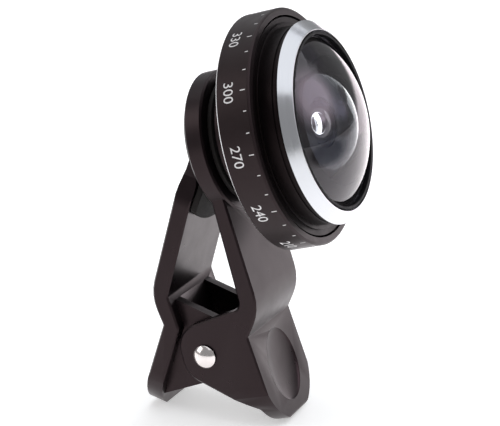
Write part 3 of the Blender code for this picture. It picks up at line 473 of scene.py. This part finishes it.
MAKERS = {
    "satin_moulded_plastic": moulded_plastic,
    "anodised_black_metal": anodised_metal,
    "deep_black_metal": lambda name, finishes: anodised_metal(name, finishes, 0.3,
                                                              finishes.barrel_tone),
    "turned_bright_metal": bright_metal,
    "dull_inner_black": inner_black,
    "front_lens_glass": lambda name, finishes: front_glass(name, finishes.coating),
    "hollow_lens_glass": lambda name, finishes: front_glass(name, finishes.hollow_coating),
    "inner_lens_glass": lambda name, finishes: coated_glass(name, (0.93, 0.95, 1.0),
                                                            finishes.coating, 1.60, 0.01),
    "ground_glass_rim": ground_glass,
    "cut_edge_metal": cut_edge_metal,
    "soft_matt_rubber": soft_rubber,
    "polished_pin_steel": polished_steel,
    "drawn_spring_wire": drawn_wire,
    "white_screen_print": printed_paint,
}


def finish(name):
    """One of the object's materials, made the first time that it is asked for."""
    return bpy.data.materials.get(name) or MAKERS[name](name, settings()[2])


# Shapes

def dressed(name, shape, materials, sharp=math.radians(40), weighted=True):
    """Turns a bmesh in the row frame into a smooth-shaded object."""
    bmesh.ops.recalc_face_normals(shape, faces=shape.faces)
    mesh = bpy.data.meshes.new(name)
    shape.to_mesh(mesh)
    shape.free()
    mesh.shade_smooth()
    mesh.set_sharp_from_angle(angle=sharp)
    for material in materials:
        mesh.materials.append(material)
    made = bpy.data.objects.new(name, mesh)
    bpy.context.scene.collection.objects.link(made)
    if weighted:
        made.modifiers.new("even_normals", "WEIGHTED_NORMAL").keep_sharp = True
    return made


def settle(name, shape, finishes, body, slot, replaced=(), **shading):
    """Makes a finished piece that rides on a body in the place of CAD nodes."""
    made = dressed(name, shape, [finish(worn) for worn in finishes], **shading)
    if body:
        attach(made, body)
    if replaced:
        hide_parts(*replaced)
    return made


def profile_line(shape, points):
    """Draws a profile of (x, radius, softness) in the lens frame and rounds its corners."""
    corners = [shape.verts.new((x, 0.0, radius)) for x, radius, _ in points]
    for pair in zip(corners, corners[1:]):
        shape.edges.new(pair)
    if points[0][1] or points[-1][1]:
        shape.edges.new((corners[-1], corners[0]))
    for amount in sorted({softness for _, _, softness in points if softness}):
        soft = [corner for corner, point in zip(corners, points) if point[2] == amount]
        bmesh.ops.bevel(shape, geom=soft, offset=amount, offset_type="OFFSET", segments=3,
                        profile=0.5, affect="VERTICES", clamp_overlap=True, material=-1)


def turned(points, segments=None):
    """A bmesh of a profile spun round the lens axis, in the lens frame."""
    segments = segments or settings()[0].segments
    shape = bmesh.new()
    profile_line(shape, points)
    bmesh.ops.spin(shape, geom=shape.verts[:] + shape.edges[:], axis=(1, 0, 0), cent=(0, 0, 0),
                   angle=math.tau, steps=segments, use_merge=True)
    bmesh.ops.remove_doubles(shape, verts=shape.verts, dist=1e-7)
    return shape


def place_lens(shape):
    """Moves a bmesh from the lens frame to the row frame."""
    bmesh.ops.transform(shape, matrix=LENS_PLACE, verts=shape.verts)
    return shape


def lens_piece(name, shape, finishes, slot, node_name):
    """Settles a shape from the lens frame on the body that turns."""
    return settle(name, place_lens(shape), finishes, "lens", slot, [node_name])


def ring_profile(place, softness):
    """Profile of a plain ring that fills a seat."""
    return [(place.back, place.inner, softness), (place.back, place.outer, softness),
            (place.front, place.outer, softness), (place.front, place.inner, softness)]


def second_finish(shape, x_low, x_high, r_low, r_high):
    """Gives the faces whose middles are between two planes and two radii a second material."""
    for face in shape.faces:
        middle = face.calc_center_median()
        radius = math.hypot(middle.y, middle.z)
        if x_low < middle.x < x_high and r_low < radius < r_high:
            face.material_index = 1
    return shape


def cap(x_rim, rim, rise, steps, softness=0.0, from_axis=True):
    """Profile points of a spherical face that stands rise in front of its rim."""
    ball = (rim * rim + rise * rise) / (2 * abs(rise))
    half = math.asin(min(1.0, rim / ball))
    side = 1.0 if rise > 0 else -1.0
    centre = x_rim + rise - side * ball
    points = []
    for step in range(steps + 1):
        turn = half * step / steps
        points.append((centre + side * ball * math.cos(turn), ball * math.sin(turn), 0.0))
    points[0] = (points[0][0], 0.0, 0.0)
    points[-1] = (*points[-1][:2], softness)
    return points if from_axis else points[::-1]


def merged_copy(node_name):
    """A bmesh of a CAD node's mesh with its loose triangles joined into faces again."""
    shape = bmesh.new()
    shape.from_mesh(frame["nodes"][node_name].data)
    bmesh.ops.remove_doubles(shape, verts=shape.verts, dist=2e-6)
    bmesh.ops.dissolve_limit(shape, angle_limit=math.radians(1.0), verts=shape.verts,
                             edges=shape.edges)
    return shape


def thread_ridge(shape, base, crest, start, end):
    """Winds a right-handed thread ridge along the lens axis, in the lens frame."""
    half_foot = 0.32 * THREAD_PITCH
    steps_a_turn = 72
    turns = (end - start - 2 * half_foot) / THREAD_PITCH
    steps = math.ceil(turns * steps_a_turn)
    corners = [shape.verts.new((start + half_foot + along, 0.0, radius))
               for along, radius in ((-half_foot, base), (0.0, crest), (half_foot, base))]
    section = shape.faces.new(corners)
    bmesh.ops.spin(shape, geom=[section, *section.edges, *corners], axis=(1, 0, 0),
                   cent=(0, 0, 0), dvec=(turns * THREAD_PITCH / steps, 0, 0),
                   angle=math.tau * turns, steps=steps, use_merge=False)
    return shape


def corners_and_edges(items):
    """The vertices and the edges among what an operator gives back."""
    return ([item for item in items if isinstance(item, bmesh.types.BMVert)],
            [item for item in items if isinstance(item, bmesh.types.BMEdge)])


def grown(shape, edges, reach, steps=6):
    """Draws the open end of a tube out by a vector, and gives its new rim."""
    for _ in range(steps):
        verts, edges = corners_and_edges(bmesh.ops.extrude_edge_only(shape, edges=edges)["geom"])
        bmesh.ops.translate(shape, vec=reach / steps, verts=verts)
        edges = [edge for edge in edges if all(v in verts for v in edge.verts)]
    return verts, edges


class StageOperator(bpy.types.Operator):
    """Set up the table, the lights and the camera"""
    bl_idname = "clip_lens.stage"
    bl_label = "Stage"

    def execute(self, context):
        _, _, finishes, stage = settings()
        shape = bmesh.new()
        bmesh.ops.create_grid(shape, x_segments=8, y_segments=8, size=TABLE_HALF)
        table = dressed("table", shape, [table_surface(finishes.floor, stage.floor_glow)],
                        weighted=False)

        world = bpy.data.worlds.new("room")
        context.scene.world = world
        world.use_nodes = True
        background = world.node_tree.nodes["Background"]
        background.inputs["Color"].default_value = ROOM_TONE
        background.inputs["Strength"].default_value = stage.room

        for box in SOFTBOXES:
            self.softbox(box)
        for card in CARDS:
            self.card(card)
        self.sheet(FLOOR_CARD, Matrix.Rotation(math.radians(FLOOR_CARD.azimuth), 4, "Z")
                   @ Matrix.Translation((0.0, -FLOOR_CARD.distance, FLOOR_CARD_HEIGHT)),
                   FLOOR_CARD.span)

        camera = bpy.data.cameras.new("photo_camera")
        camera.sensor_width = 36.0
        camera.lens = stage.focal_length
        camera.clip_start = 0.01
        camera.clip_end = 10.0
        holder = bpy.data.objects.new("photo_camera", camera)
        context.scene.collection.objects.link(holder)
        turn = (Matrix.Rotation(stage.camera_azimuth, 4, "Z")
                @ Matrix.Rotation(math.pi / 2 - stage.camera_elevation, 4, "X")
                @ Matrix.Rotation(stage.camera_roll, 4, "Z"))
        holder.matrix_world = Matrix.Translation(stage.camera_place) @ turn
        context.scene.camera = holder
        context.scene.view_settings.view_transform = "Standard"
        return {"FINISHED"}

    def softbox(self, box):
        """A rectangular lamp of an even brightness that faces a point."""
        light = bpy.data.lights.new(box.name, "AREA")
        light.shape = "RECTANGLE"
        light.size, light.size_y = box.size
        light.energy = box.radiance * math.pi * box.size[0] * box.size[1]
        light.color = box.tone
        holder = bpy.data.objects.new(box.name, light)
        bpy.context.scene.collection.objects.link(holder)
        aim = Vector(box.target) - Vector(box.place)
        holder.location = box.place
        holder.rotation_euler = aim.to_track_quat("-Z", "Y").to_euler()
        holder.visible_camera = False
        holder.visible_glossy = box.glossy

    def card(self, card):
        """Puts up a card that faces the part."""
        azimuth, elevation = math.radians(card.azimuth), math.radians(card.elevation)
        outward = Vector((math.sin(azimuth) * math.cos(elevation),
                          -math.cos(azimuth) * math.cos(elevation), math.sin(elevation)))
        size = [2 * card.distance * math.tan(math.radians(degrees) / 2) for degrees in card.span]
        turn = (-outward).to_track_quat("Z", "Y").to_matrix().to_4x4()
        place = Matrix.Translation(CARD_CENTRE + outward * card.distance) @ turn
        self.sheet(card, place, size)

    def sheet(self, card, place, size):
        """A flat, soft-edged sheet that only shows in reflections."""
        shape = bmesh.new()
        bmesh.ops.create_grid(shape, x_segments=2, y_segments=2, size=0.5)
        bmesh.ops.transform(shape, matrix=place @ Matrix.Diagonal((*size, 1.0, 1.0)),
                            verts=shape.verts)
        sheet = dressed(card.name, shape, [card_glow(card, place, size)], weighted=False)
        sheet.visible_camera = False
        sheet.visible_diffuse = False
        sheet.visible_shadow = False


class JawsOperator(bpy.types.Operator):
    """Dress both jaws in smooth moulded plastic"""
    bl_idname = "clip_lens.jaws"
    bl_label = "Jaws"

    def execute(self, context):
        softness = settings()[1].edge_softness
        for node_name, body in (("front_jaw", "front_clip"), ("rear_jaw", "rear_clip")):
            jaw = settle(node_name + "_moulding", merged_copy(node_name),
                         ["satin_moulded_plastic"], body, "clip_plastic", [node_name],
                         sharp=math.radians(32), weighted=False)
            edges = jaw.modifiers.new("soft_edges", "BEVEL")
            edges.limit_method = "ANGLE"
            edges.angle_limit = math.radians(35)
            edges.width = softness
            edges.segments = 2
            edges.harden_normals = True
            edges.miter_outer = "MITER_ARC"
        return {"FINISHED"}


class PadsOperator(bpy.types.Operator):
    """Make the soft pads and the washer"""
    bl_idname = "clip_lens.pads"
    bl_label = "Pads"

    def execute(self, context):
        soft = settings()[1].pad_softness
        crease = math.radians(50)
        shape = merged_copy("rear_jaw_pad")
        sharp = [edge for edge in shape.edges
                 if len(edge.link_faces) == 2 and edge.calc_face_angle() > crease]
        bmesh.ops.bevel(shape, geom=sharp, offset=soft, offset_type="OFFSET", segments=3,
                        profile=0.5, affect="EDGES", clamp_overlap=True, material=-1)
        pad = settle("rear_pad_rubber", shape, ["soft_matt_rubber"], "rear_clip", "soft_pad",
                     ["rear_jaw_pad"], sharp=math.radians(60))
        for node_name, body in (("ring_pad", "front_clip"), ("seat_washer", "washer")):
            shape = place_lens(turned(ring_profile(seat(node_name), soft)))
            ring = settle(node_name + "_rubber", shape, ["soft_matt_rubber"], body, "soft_pad",
                          [node_name])
        return {"FINISHED"}


class PinOperator(bpy.types.Operator):
    """Make the polished hinge pin"""
    bl_idname = "clip_lens.pin"
    bl_label = "Hinge pin"

    def execute(self, context):
        pin_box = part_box("pivot_pin")
        head_radius = (pin_box[1].z - pin_box[0].z) / 2
        near = -pin_box[0].y - PIN_HEAD_HEIGHT
        far = PIN_TAIL_HEIGHT - pin_box[1].y
        soft = 0.07 * MM
        head_steps, tail_steps = 16, 12
        points = cap(near, head_radius, PIN_HEAD_HEIGHT, head_steps, soft)
        points += [(near, PIN_RADIUS, 0.0), (far, PIN_RADIUS, 0.0)]
        points += cap(far, PIN_TAIL_RADIUS, -PIN_TAIL_HEIGHT, tail_steps, soft, False)
        shape = turned(points, SMALL_SEGMENTS)
        place = Matrix.Translation(HINGE) @ Matrix.Rotation(-math.pi / 2, 4, "Z")
        bmesh.ops.transform(shape, matrix=place, verts=shape.verts)
        settle("hinge_pin_polished", shape, ["polished_pin_steel"], "front_clip", "pin_steel",
               ["pivot_pin"])
        return {"FINISHED"}


class SpringOperator(bpy.types.Operator):
    """Wind the torsion spring round the pin"""
    bl_idname = "clip_lens.spring"
    bl_label = "Spring"

    def execute(self, context):
        clip = settings()[1]
        end = Vector((self.plate_distance(clip), -clip.leg_reach))
        first = math.atan2(end.y, end.x) + math.acos(clip.coil_radius / end.length)
        turn = math.pi - first - JAW_ANGLE - first + math.tau * COIL_WHOLE_TURNS
        span = clip.coil_pitch * turn / math.tau
        start = Vector((math.cos(first), math.sin(first))) * clip.coil_radius
        leg = end - start
        inward = Vector((-leg.x, 0.0, -leg.y))
        steps = math.ceil(turn / COIL_STEP)
        shape = bmesh.new()
        ring = bmesh.ops.create_circle(shape, cap_ends=False, segments=WIRE_SEGMENTS,
                                       radius=clip.wire_radius)["verts"]
        aim = inward.normalized().to_track_quat("Z", "Y").to_matrix().to_4x4()
        place = Matrix.Translation((end.x, span / 2, end.y)) @ aim
        bmesh.ops.transform(shape, matrix=place, verts=ring)
        bmesh.ops.contextual_create(shape, geom=ring)
        verts, edges = grown(shape, shape.edges[:], inward)
        coil = bmesh.ops.spin(shape, geom=verts + edges, axis=(0, -1, 0), cent=(0, 0, 0),
                              dvec=(0.0, -span / steps, 0.0), angle=turn, steps=steps,
                              use_merge=False)
        outward = Matrix.Rotation(-JAW_ANGLE, 2) @ Vector((-leg.x, leg.y))
        _, edges = grown(shape, corners_and_edges(coil["geom_last"])[1],
                         Vector((outward.x, 0.0, outward.y)))
        bmesh.ops.contextual_create(shape, geom=edges)
        bmesh.ops.remove_doubles(shape, verts=shape.verts, dist=1e-7)
        bmesh.ops.transform(shape, matrix=HINGE_PLACE, verts=shape.verts)
        spring = settle("torsion_spring_wire", shape, ["drawn_spring_wire"], None,
                        "spring_steel", ["torsion_spring"])
        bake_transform(spring)
        return {"FINISHED"}

    def plate_distance(self, clip):
        """How far a leg's end is from the pin, where it lies along the handle's inner face."""
        face = HANDLE_FACE + math.tan(HANDLE_LEAN) * (HANDLE_ROOT + clip.leg_reach)
        return face - HANDLE_THICKNESS - clip.wire_radius - GAP


class RearBarrelOperator(bpy.types.Operator):
    """Turn the rear barrel with its neck and thread"""
    bl_idname = "clip_lens.rear_barrel"
    bl_label = "Rear barrel"

    def execute(self, context):
        place = seat("rear_barrel")
        soft = settings()[0].softness
        neck_front = place.front - SPIGOT_LENGTH
        neck_back = neck_front - NECK_LENGTH
        neck = place.outer
        pocket_back = place.back + POCKET_WALL
        stub_back = place.back + EDGE_CHAMFER
        points = [
            (place.back, place.inner + EDGE_CHAMFER, 0.0),
            (place.back, THREAD_RADIUS - EDGE_CHAMFER, soft / 2),
            (stub_back, THREAD_RADIUS, soft / 2), (neck_back, THREAD_RADIUS, 0.0),
            (neck_back, neck - EDGE_CHAMFER, soft), (neck_back + EDGE_CHAMFER, neck, soft),
            (neck_front, neck, 0.0), (neck_front, SPIGOT_RADIUS, 0.0),
            (place.front, SPIGOT_RADIUS, soft), (place.front, POCKET_RADIUS, soft),
            (pocket_back, POCKET_RADIUS, 0.0), (pocket_back, place.inner, 0.0),
            (stub_back, place.inner, 0.0),
        ]
        sunk, ridge = 0.05 * MM, 0.12 * MM
        shape = thread_ridge(turned(points, NECK_SEGMENTS), THREAD_RADIUS - sunk,
                             THREAD_RADIUS + ridge, stub_back, neck_back)
        lens_piece("rear_barrel_turned", shape, ["anodised_black_metal"], "anodised_black",
                   "rear_barrel")
        bore = THREAD_RADIUS + GAP
        shape = thread_ridge(bmesh.new(), bore + sunk, bore - ridge, RING_THREAD_BACK,
                             RING_THREAD_FRONT)
        settle("ring_thread", place_lens(shape), ["satin_moulded_plastic"], "front_clip",
               "clip_plastic")
        return {"FINISHED"}


class LensBodyOperator(bpy.types.Operator):
    """Turn the wide band and print its scale"""
    bl_idname = "clip_lens.lens_body"
    bl_label = "Lens body and scale"

    def execute(self, context):
        sizes = settings()[0]
        place = seat("lens_body")
        soft = sizes.softness
        chamfer = sizes.band_chamfer
        step_share = 0.6
        step = NECK_RADIUS + step_share * (place.outer - NECK_RADIUS)
        inside = place.outer - sizes.band_wall
        front_wall = place.back + BACK_WALL
        points = [
            (place.back, place.inner, soft), (place.back, step, soft),
            (place.back + BACK_STEP, step + BACK_STEP, soft),
            (place.back + BACK_STEP, place.outer - 2 * chamfer, soft),
            (place.back, place.outer - chamfer, soft / 2),
            (place.back + chamfer, place.outer, soft / 2),
            (place.front - chamfer, place.outer, soft / 2),
            (place.front, place.outer - chamfer, soft / 2),
            (place.front, inside, soft / 2), (front_wall, inside, 0.0),
            (front_wall, place.inner, soft),
        ]
        shape = second_finish(turned(points), place.back - MM, place.back + chamfer,
                              place.outer - chamfer, place.outer + MM)
        lens_piece("lens_body_turned", shape, ["anodised_black_metal", "cut_edge_metal"],
                   "anodised_black", "lens_body")
        self.scale(sizes, place)
        return {"FINISHED"}

    def scale(self, sizes, place):
        """A plain scale of degrees round the band, with a figure at each 30."""
        shape = bmesh.new()
        tick_width = 0.16 * MM
        short_tick = 0.6
        figure_setback = 0.7 * MM
        figure_middle = (place.back + place.front) / 2 - figure_setback
        for degrees in range(0, 360, 10):
            reach = sizes.tick_length * (short_tick if degrees % 30 else 1.0)
            cube = bmesh.ops.create_cube(shape, size=1.0)["verts"]
            size = Matrix.Diagonal((reach, tick_width, 2 * sizes.print_thickness, 1.0))
            front = place.front - 2 * sizes.band_chamfer - reach / 2
            local = Matrix.Translation((front, 0.0, place.outer)) @ size
            spot = Matrix.Rotation(math.radians(-degrees), 4, "X")
            bmesh.ops.transform(shape, matrix=spot @ local, verts=cube)
        for degrees in range(0, 360, 30):
            self.figure(shape, degrees, figure_middle, place.outer, sizes)
        settle("band_scale_print", place_lens(shape), ["white_screen_print"], "lens",
               "anodised_black", weighted=False)

    def figure(self, shape, degrees, x_middle, radius, sizes):
        """One number, bent round the band with its foot towards the back."""
        figure_share = 0.72
        curve = bpy.data.curves.new("figure", "FONT")
        curve.body = str(degrees)
        curve.size = sizes.figure_height / figure_share
        curve.align_x = "CENTER"
        curve.align_y = "CENTER"
        curve.extrude = sizes.print_thickness
        curve.resolution_u = 4
        holder = bpy.data.objects.new("figure", curve)
        bpy.context.scene.collection.objects.link(holder)
        bpy.context.view_layer.update()
        evaluated = holder.evaluated_get(bpy.context.evaluated_depsgraph_get())
        mesh = bpy.data.meshes.new_from_object(evaluated)
        bpy.data.objects.remove(holder)
        before = set(shape.verts)
        shape.from_mesh(mesh)
        for vertex in [vertex for vertex in shape.verts if vertex not in before]:
            across, up, out = vertex.co
            turn = math.radians(-degrees) + across / radius
            distance = radius + out
            vertex.co = (x_middle + up, -distance * math.sin(turn), distance * math.cos(turn))
        bpy.data.meshes.remove(mesh)
        bpy.data.curves.remove(curve)


class FrontBarrelOperator(bpy.types.Operator):
    """Turn the front barrel and its flange"""
    bl_idname = "clip_lens.front_barrel"
    bl_label = "Front barrel"

    def execute(self, context):
        place = seat("front_barrel")
        soft = settings()[0].softness
        flange_setback, groove_setback = 0.15 * MM, 0.9 * MM
        groove_width, groove_depth = 0.25 * MM, 0.2 * MM
        bore = seat("front_dome").outer + GAP
        flange_front = seat("lens_body").front - flange_setback
        flange_back = flange_front - FLANGE_DEPTH
        step_front = flange_front + BARREL_STEP_HEIGHT
        shelf_front = seat("dome_gasket").back - GAP
        shelf_back = shelf_front - SHELF_THICKNESS
        groove_front = seat("bezel_ring").back - groove_setback
        groove_back = groove_front - groove_width
        groove = BARREL_RADIUS - groove_depth
        points = [
            (place.back, bore, 0.0), (place.back, BARREL_RADIUS, soft),
            (flange_back, BARREL_RADIUS, 0.0), (flange_back, place.outer, soft),
            (flange_front, place.outer, soft / 2), (flange_front, BARREL_STEP_RADIUS, 0.0),
            (step_front, BARREL_STEP_RADIUS, soft / 2), (step_front, BARREL_RADIUS, 0.0),
            (groove_back, BARREL_RADIUS, soft / 3), (groove_back, groove, 0.0),
            (groove_front, groove, 0.0), (groove_front, BARREL_RADIUS, soft / 3),
            (place.front, BARREL_RADIUS, soft), (place.front, bore, soft),
            (shelf_front, bore, 0.0), (shelf_front, place.inner, soft),
            (shelf_back, place.inner, soft), (shelf_back, bore, 0.0),
        ]
        lens_piece("front_barrel_turned", turned(points), ["deep_black_metal"],
                   "anodised_black", "front_barrel")
        return {"FINISHED"}


class BezelOperator(bpy.types.Operator):
    """Turn the bright bevelled ring"""
    bl_idname = "clip_lens.bezel"
    bl_label = "Bright ring"

    def execute(self, context):
        place = seat("bezel_ring")
        soft = settings()[0].softness
        lip_width = 0.15 * MM
        lip = place.inner + lip_width
        land = (place.front - place.back) - (place.outer - lip)
        points = [
            (place.back, place.inner, 0.0), (place.back, place.outer, soft),
            (place.back + land, place.outer, soft / 2), (place.front, lip, soft / 2),
            (place.front, place.inner, soft / 2),
        ]
        lens_piece("bezel_ring_turned", turned(points), ["turned_bright_metal"], "bright_ring",
                   "bezel_ring")
        return {"FINISHED"}


class RetainerOperator(bpy.types.Operator):
    """Turn the black ring that holds the front glass"""
    bl_idname = "clip_lens.retainer"
    bl_label = "Retainer"

    def execute(self, context):
        points = ring_profile(seat("dome_retainer"), settings()[0].softness / 2)
        lens_piece("dome_retainer_turned", turned(points), ["dull_inner_black"], "inner_black",
                   "dome_retainer")
        return {"FINISHED"}


class GlassOperator(bpy.types.Operator):
    """Grind the four glass elements"""
    bl_idname = "clip_lens.glass"
    bl_label = "Glass elements"

    def execute(self, context):
        soft = 0.1 * MM
        self.front_dome(soft)
        self.second(soft)

        place = seat("third_element")
        back = place.back + BULGE_HEIGHT
        points = [(place.front, 0.0, 0.0), (place.front, place.outer, soft),
                  (back, place.outer, soft)]
        points += cap(back, BULGE_RADIUS, -BULGE_HEIGHT, BULGE_STEPS, 0.0, False)
        self.element("third_element_glass", turned(points), "third_element")

        place = seat("rear_element")
        rim = place.front - BULGE_HEIGHT
        points = cap(rim, BULGE_RADIUS, BULGE_HEIGHT, BULGE_STEPS)
        points += [(rim, place.outer, soft), (place.back, place.outer, soft),
                   (place.back, 0.0, 0.0)]
        self.element("rear_element_glass", turned(points), "rear_element")
        return {"FINISHED"}

    def front_dome(self, soft):
        """The front element: polished outside, coated in its hollow, ground and blackened
        where it is held."""
        place = seat("front_dome")
        rim = place.front - DOME_RISE
        points = cap(rim, place.outer, DOME_RISE, DOME_STEPS, soft)
        points.append((place.back, place.outer, soft))
        centre = place.front - DOME_CENTRE_THICKNESS - DOME_HOLLOW_RADIUS
        widest = math.acos((place.back - centre) / DOME_HOLLOW_RADIUS)
        for step in range(HOLLOW_STEPS + 1):
            turn = widest * (1 - step / HOLLOW_STEPS)
            points.append((centre + DOME_HOLLOW_RADIUS * math.cos(turn),
                           DOME_HOLLOW_RADIUS * math.sin(turn), 0.0))
        points[-1] = (points[-1][0], 0.0, 0.0)
        shape = turned(points)

        hub = Vector((centre, 0.0, 0.0))
        clear_radius = 9.5 * MM
        close = 0.05 * MM
        edge = place.outer - 0.12 * MM
        for face in shape.faces:
            middle = face.calc_center_median()
            around = math.hypot(middle.y, middle.z)
            if (middle - hub).length < DOME_HOLLOW_RADIUS + close:
                face.material_index = 2 if around > clear_radius else 1
            elif middle.x < place.back + close or (around > edge and middle.x < rim):
                face.material_index = 2
        self.element("front_dome_glass", shape, "front_dome",
                     ("front_lens_glass", "hollow_lens_glass", "ground_glass_rim"))

    def second(self, soft):
        """The small inner dome, whose back is ground round a shallow clear dish."""
        place = seat("second_element")
        rim = place.front - SECOND_RISE
        back = rim - SECOND_EDGE
        clear_share, dish_share = 0.38, 0.13
        clear = clear_share * place.outer
        points = cap(rim, place.outer, SECOND_RISE, SECOND_STEPS, soft)
        points.append((back, place.outer, soft))
        points += cap(back, clear, dish_share * SECOND_RISE, BULGE_STEPS, 0.0, False)
        shape = second_finish(turned(points), place.back - MM, rim, clear, math.inf)
        self.element("second_element_glass", shape, "second_element",
                     ("inner_lens_glass", "ground_glass_rim"))

    def element(self, name, shape, node_name, finishes=("inner_lens_glass",)):
        """One element, which lets light through to what is behind it."""
        made = lens_piece(name, shape, finishes, "lens_glass", node_name)
        made.visible_shadow = settings()[3].shadows


class InnerRingsOperator(bpy.types.Operator):
    """Turn the dull black rings behind the glass"""
    bl_idname = "clip_lens.inner_rings"
    bl_label = "Inner rings"

    def execute(self, context):
        soft = settings()[0].softness
        for node_name, segments in (("dome_gasket", None), ("light_baffle", None),
                                    ("aperture_stop", SMALL_SEGMENTS),
                                    ("element_spacer", SMALL_SEGMENTS)):
            place = seat(node_name)
            edge = min(soft, (place.front - place.back) / 4)
            rubber = node_name == "dome_gasket"
            made = lens_piece(node_name + "_ring", turned(ring_profile(place, edge), segments),
                              ["soft_matt_rubber" if rubber else "dull_inner_black"],
                              "soft_pad" if rubber else "inner_black", node_name)
        self.cell(soft)
        return {"FINISHED"}

    def cell(self, soft):
        """The cell that carries the second element."""
        place = seat("lens_cell")
        element = seat("second_element")
        pocket = element.outer + GAP
        nose = pocket + CELL_NOSE_WALL
        flange_back = seat("rear_barrel").front + GAP
        flange_front = flange_back + CELL_FLANGE
        rest = element.front - SECOND_RISE - SECOND_EDGE - GAP
        points = [
            (place.back, place.inner, soft), (place.back, CELL_RADIUS, soft),
            (flange_back, CELL_RADIUS, 0.0), (flange_back, place.outer, soft),
            (flange_front, place.outer, soft), (flange_front, nose, 0.0),
            (place.front, nose, soft), (place.front, pocket, soft), (rest, pocket, 0.0),
            (rest, place.inner, soft),
        ]
        lens_piece("lens_cell_ring", turned(points, SMALL_SEGMENTS), ["dull_inner_black"],
                   "inner_black", "lens_cell")


OPERATORS = (StageOperator, JawsOperator, PadsOperator, PinOperator, SpringOperator,
             RearBarrelOperator, LensBodyOperator, FrontBarrelOperator, BezelOperator,
             RetainerOperator, GlassOperator, InnerRingsOperator)


class ClipLensPanel(bpy.types.Panel):
    """Lists the pieces of the clip-on lens and their settings"""
    bl_idname = "VIEW3D_PT_clip_lens"
    bl_label = "Clip-on phone lens"
    bl_space_type = "VIEW_3D"
    bl_region_type = "UI"
    bl_category = "Clip Lens"

    def draw(self, context):
        layout = self.layout
        for operator in OPERATORS:
            layout.operator(operator.bl_idname, text=operator.bl_label)
        for group in settings():
            box = layout.box()
            for name in group.bl_rna.properties.keys():
                if name not in ("rna_type", "name"):
                    box.prop(group, name)


CLASSES = (LensSizes, ClipSizes, Finishes, StageSettings) + OPERATORS + (ClipLensPanel,)
GROUPS = {"clip_lens_sizes": LensSizes, "clip_sizes": ClipSizes, "clip_finishes": Finishes,
          "clip_stage": StageSettings}


def register():
    for made in CLASSES:
        bpy.utils.register_class(made)
    for name, group in GROUPS.items():
        setattr(bpy.types.Scene, name, PointerProperty(type=group))


def unregister():
    for name in GROUPS:
        delattr(bpy.types.Scene, name)
    for made in reversed(CLASSES):
        bpy.utils.unregister_class(made)


def main():
    register()
    for operator in OPERATORS:
        group, name = operator.bl_idname.split(".")
        getattr(getattr(bpy.ops, group), name)()


if __name__ == "__main__":
    main()
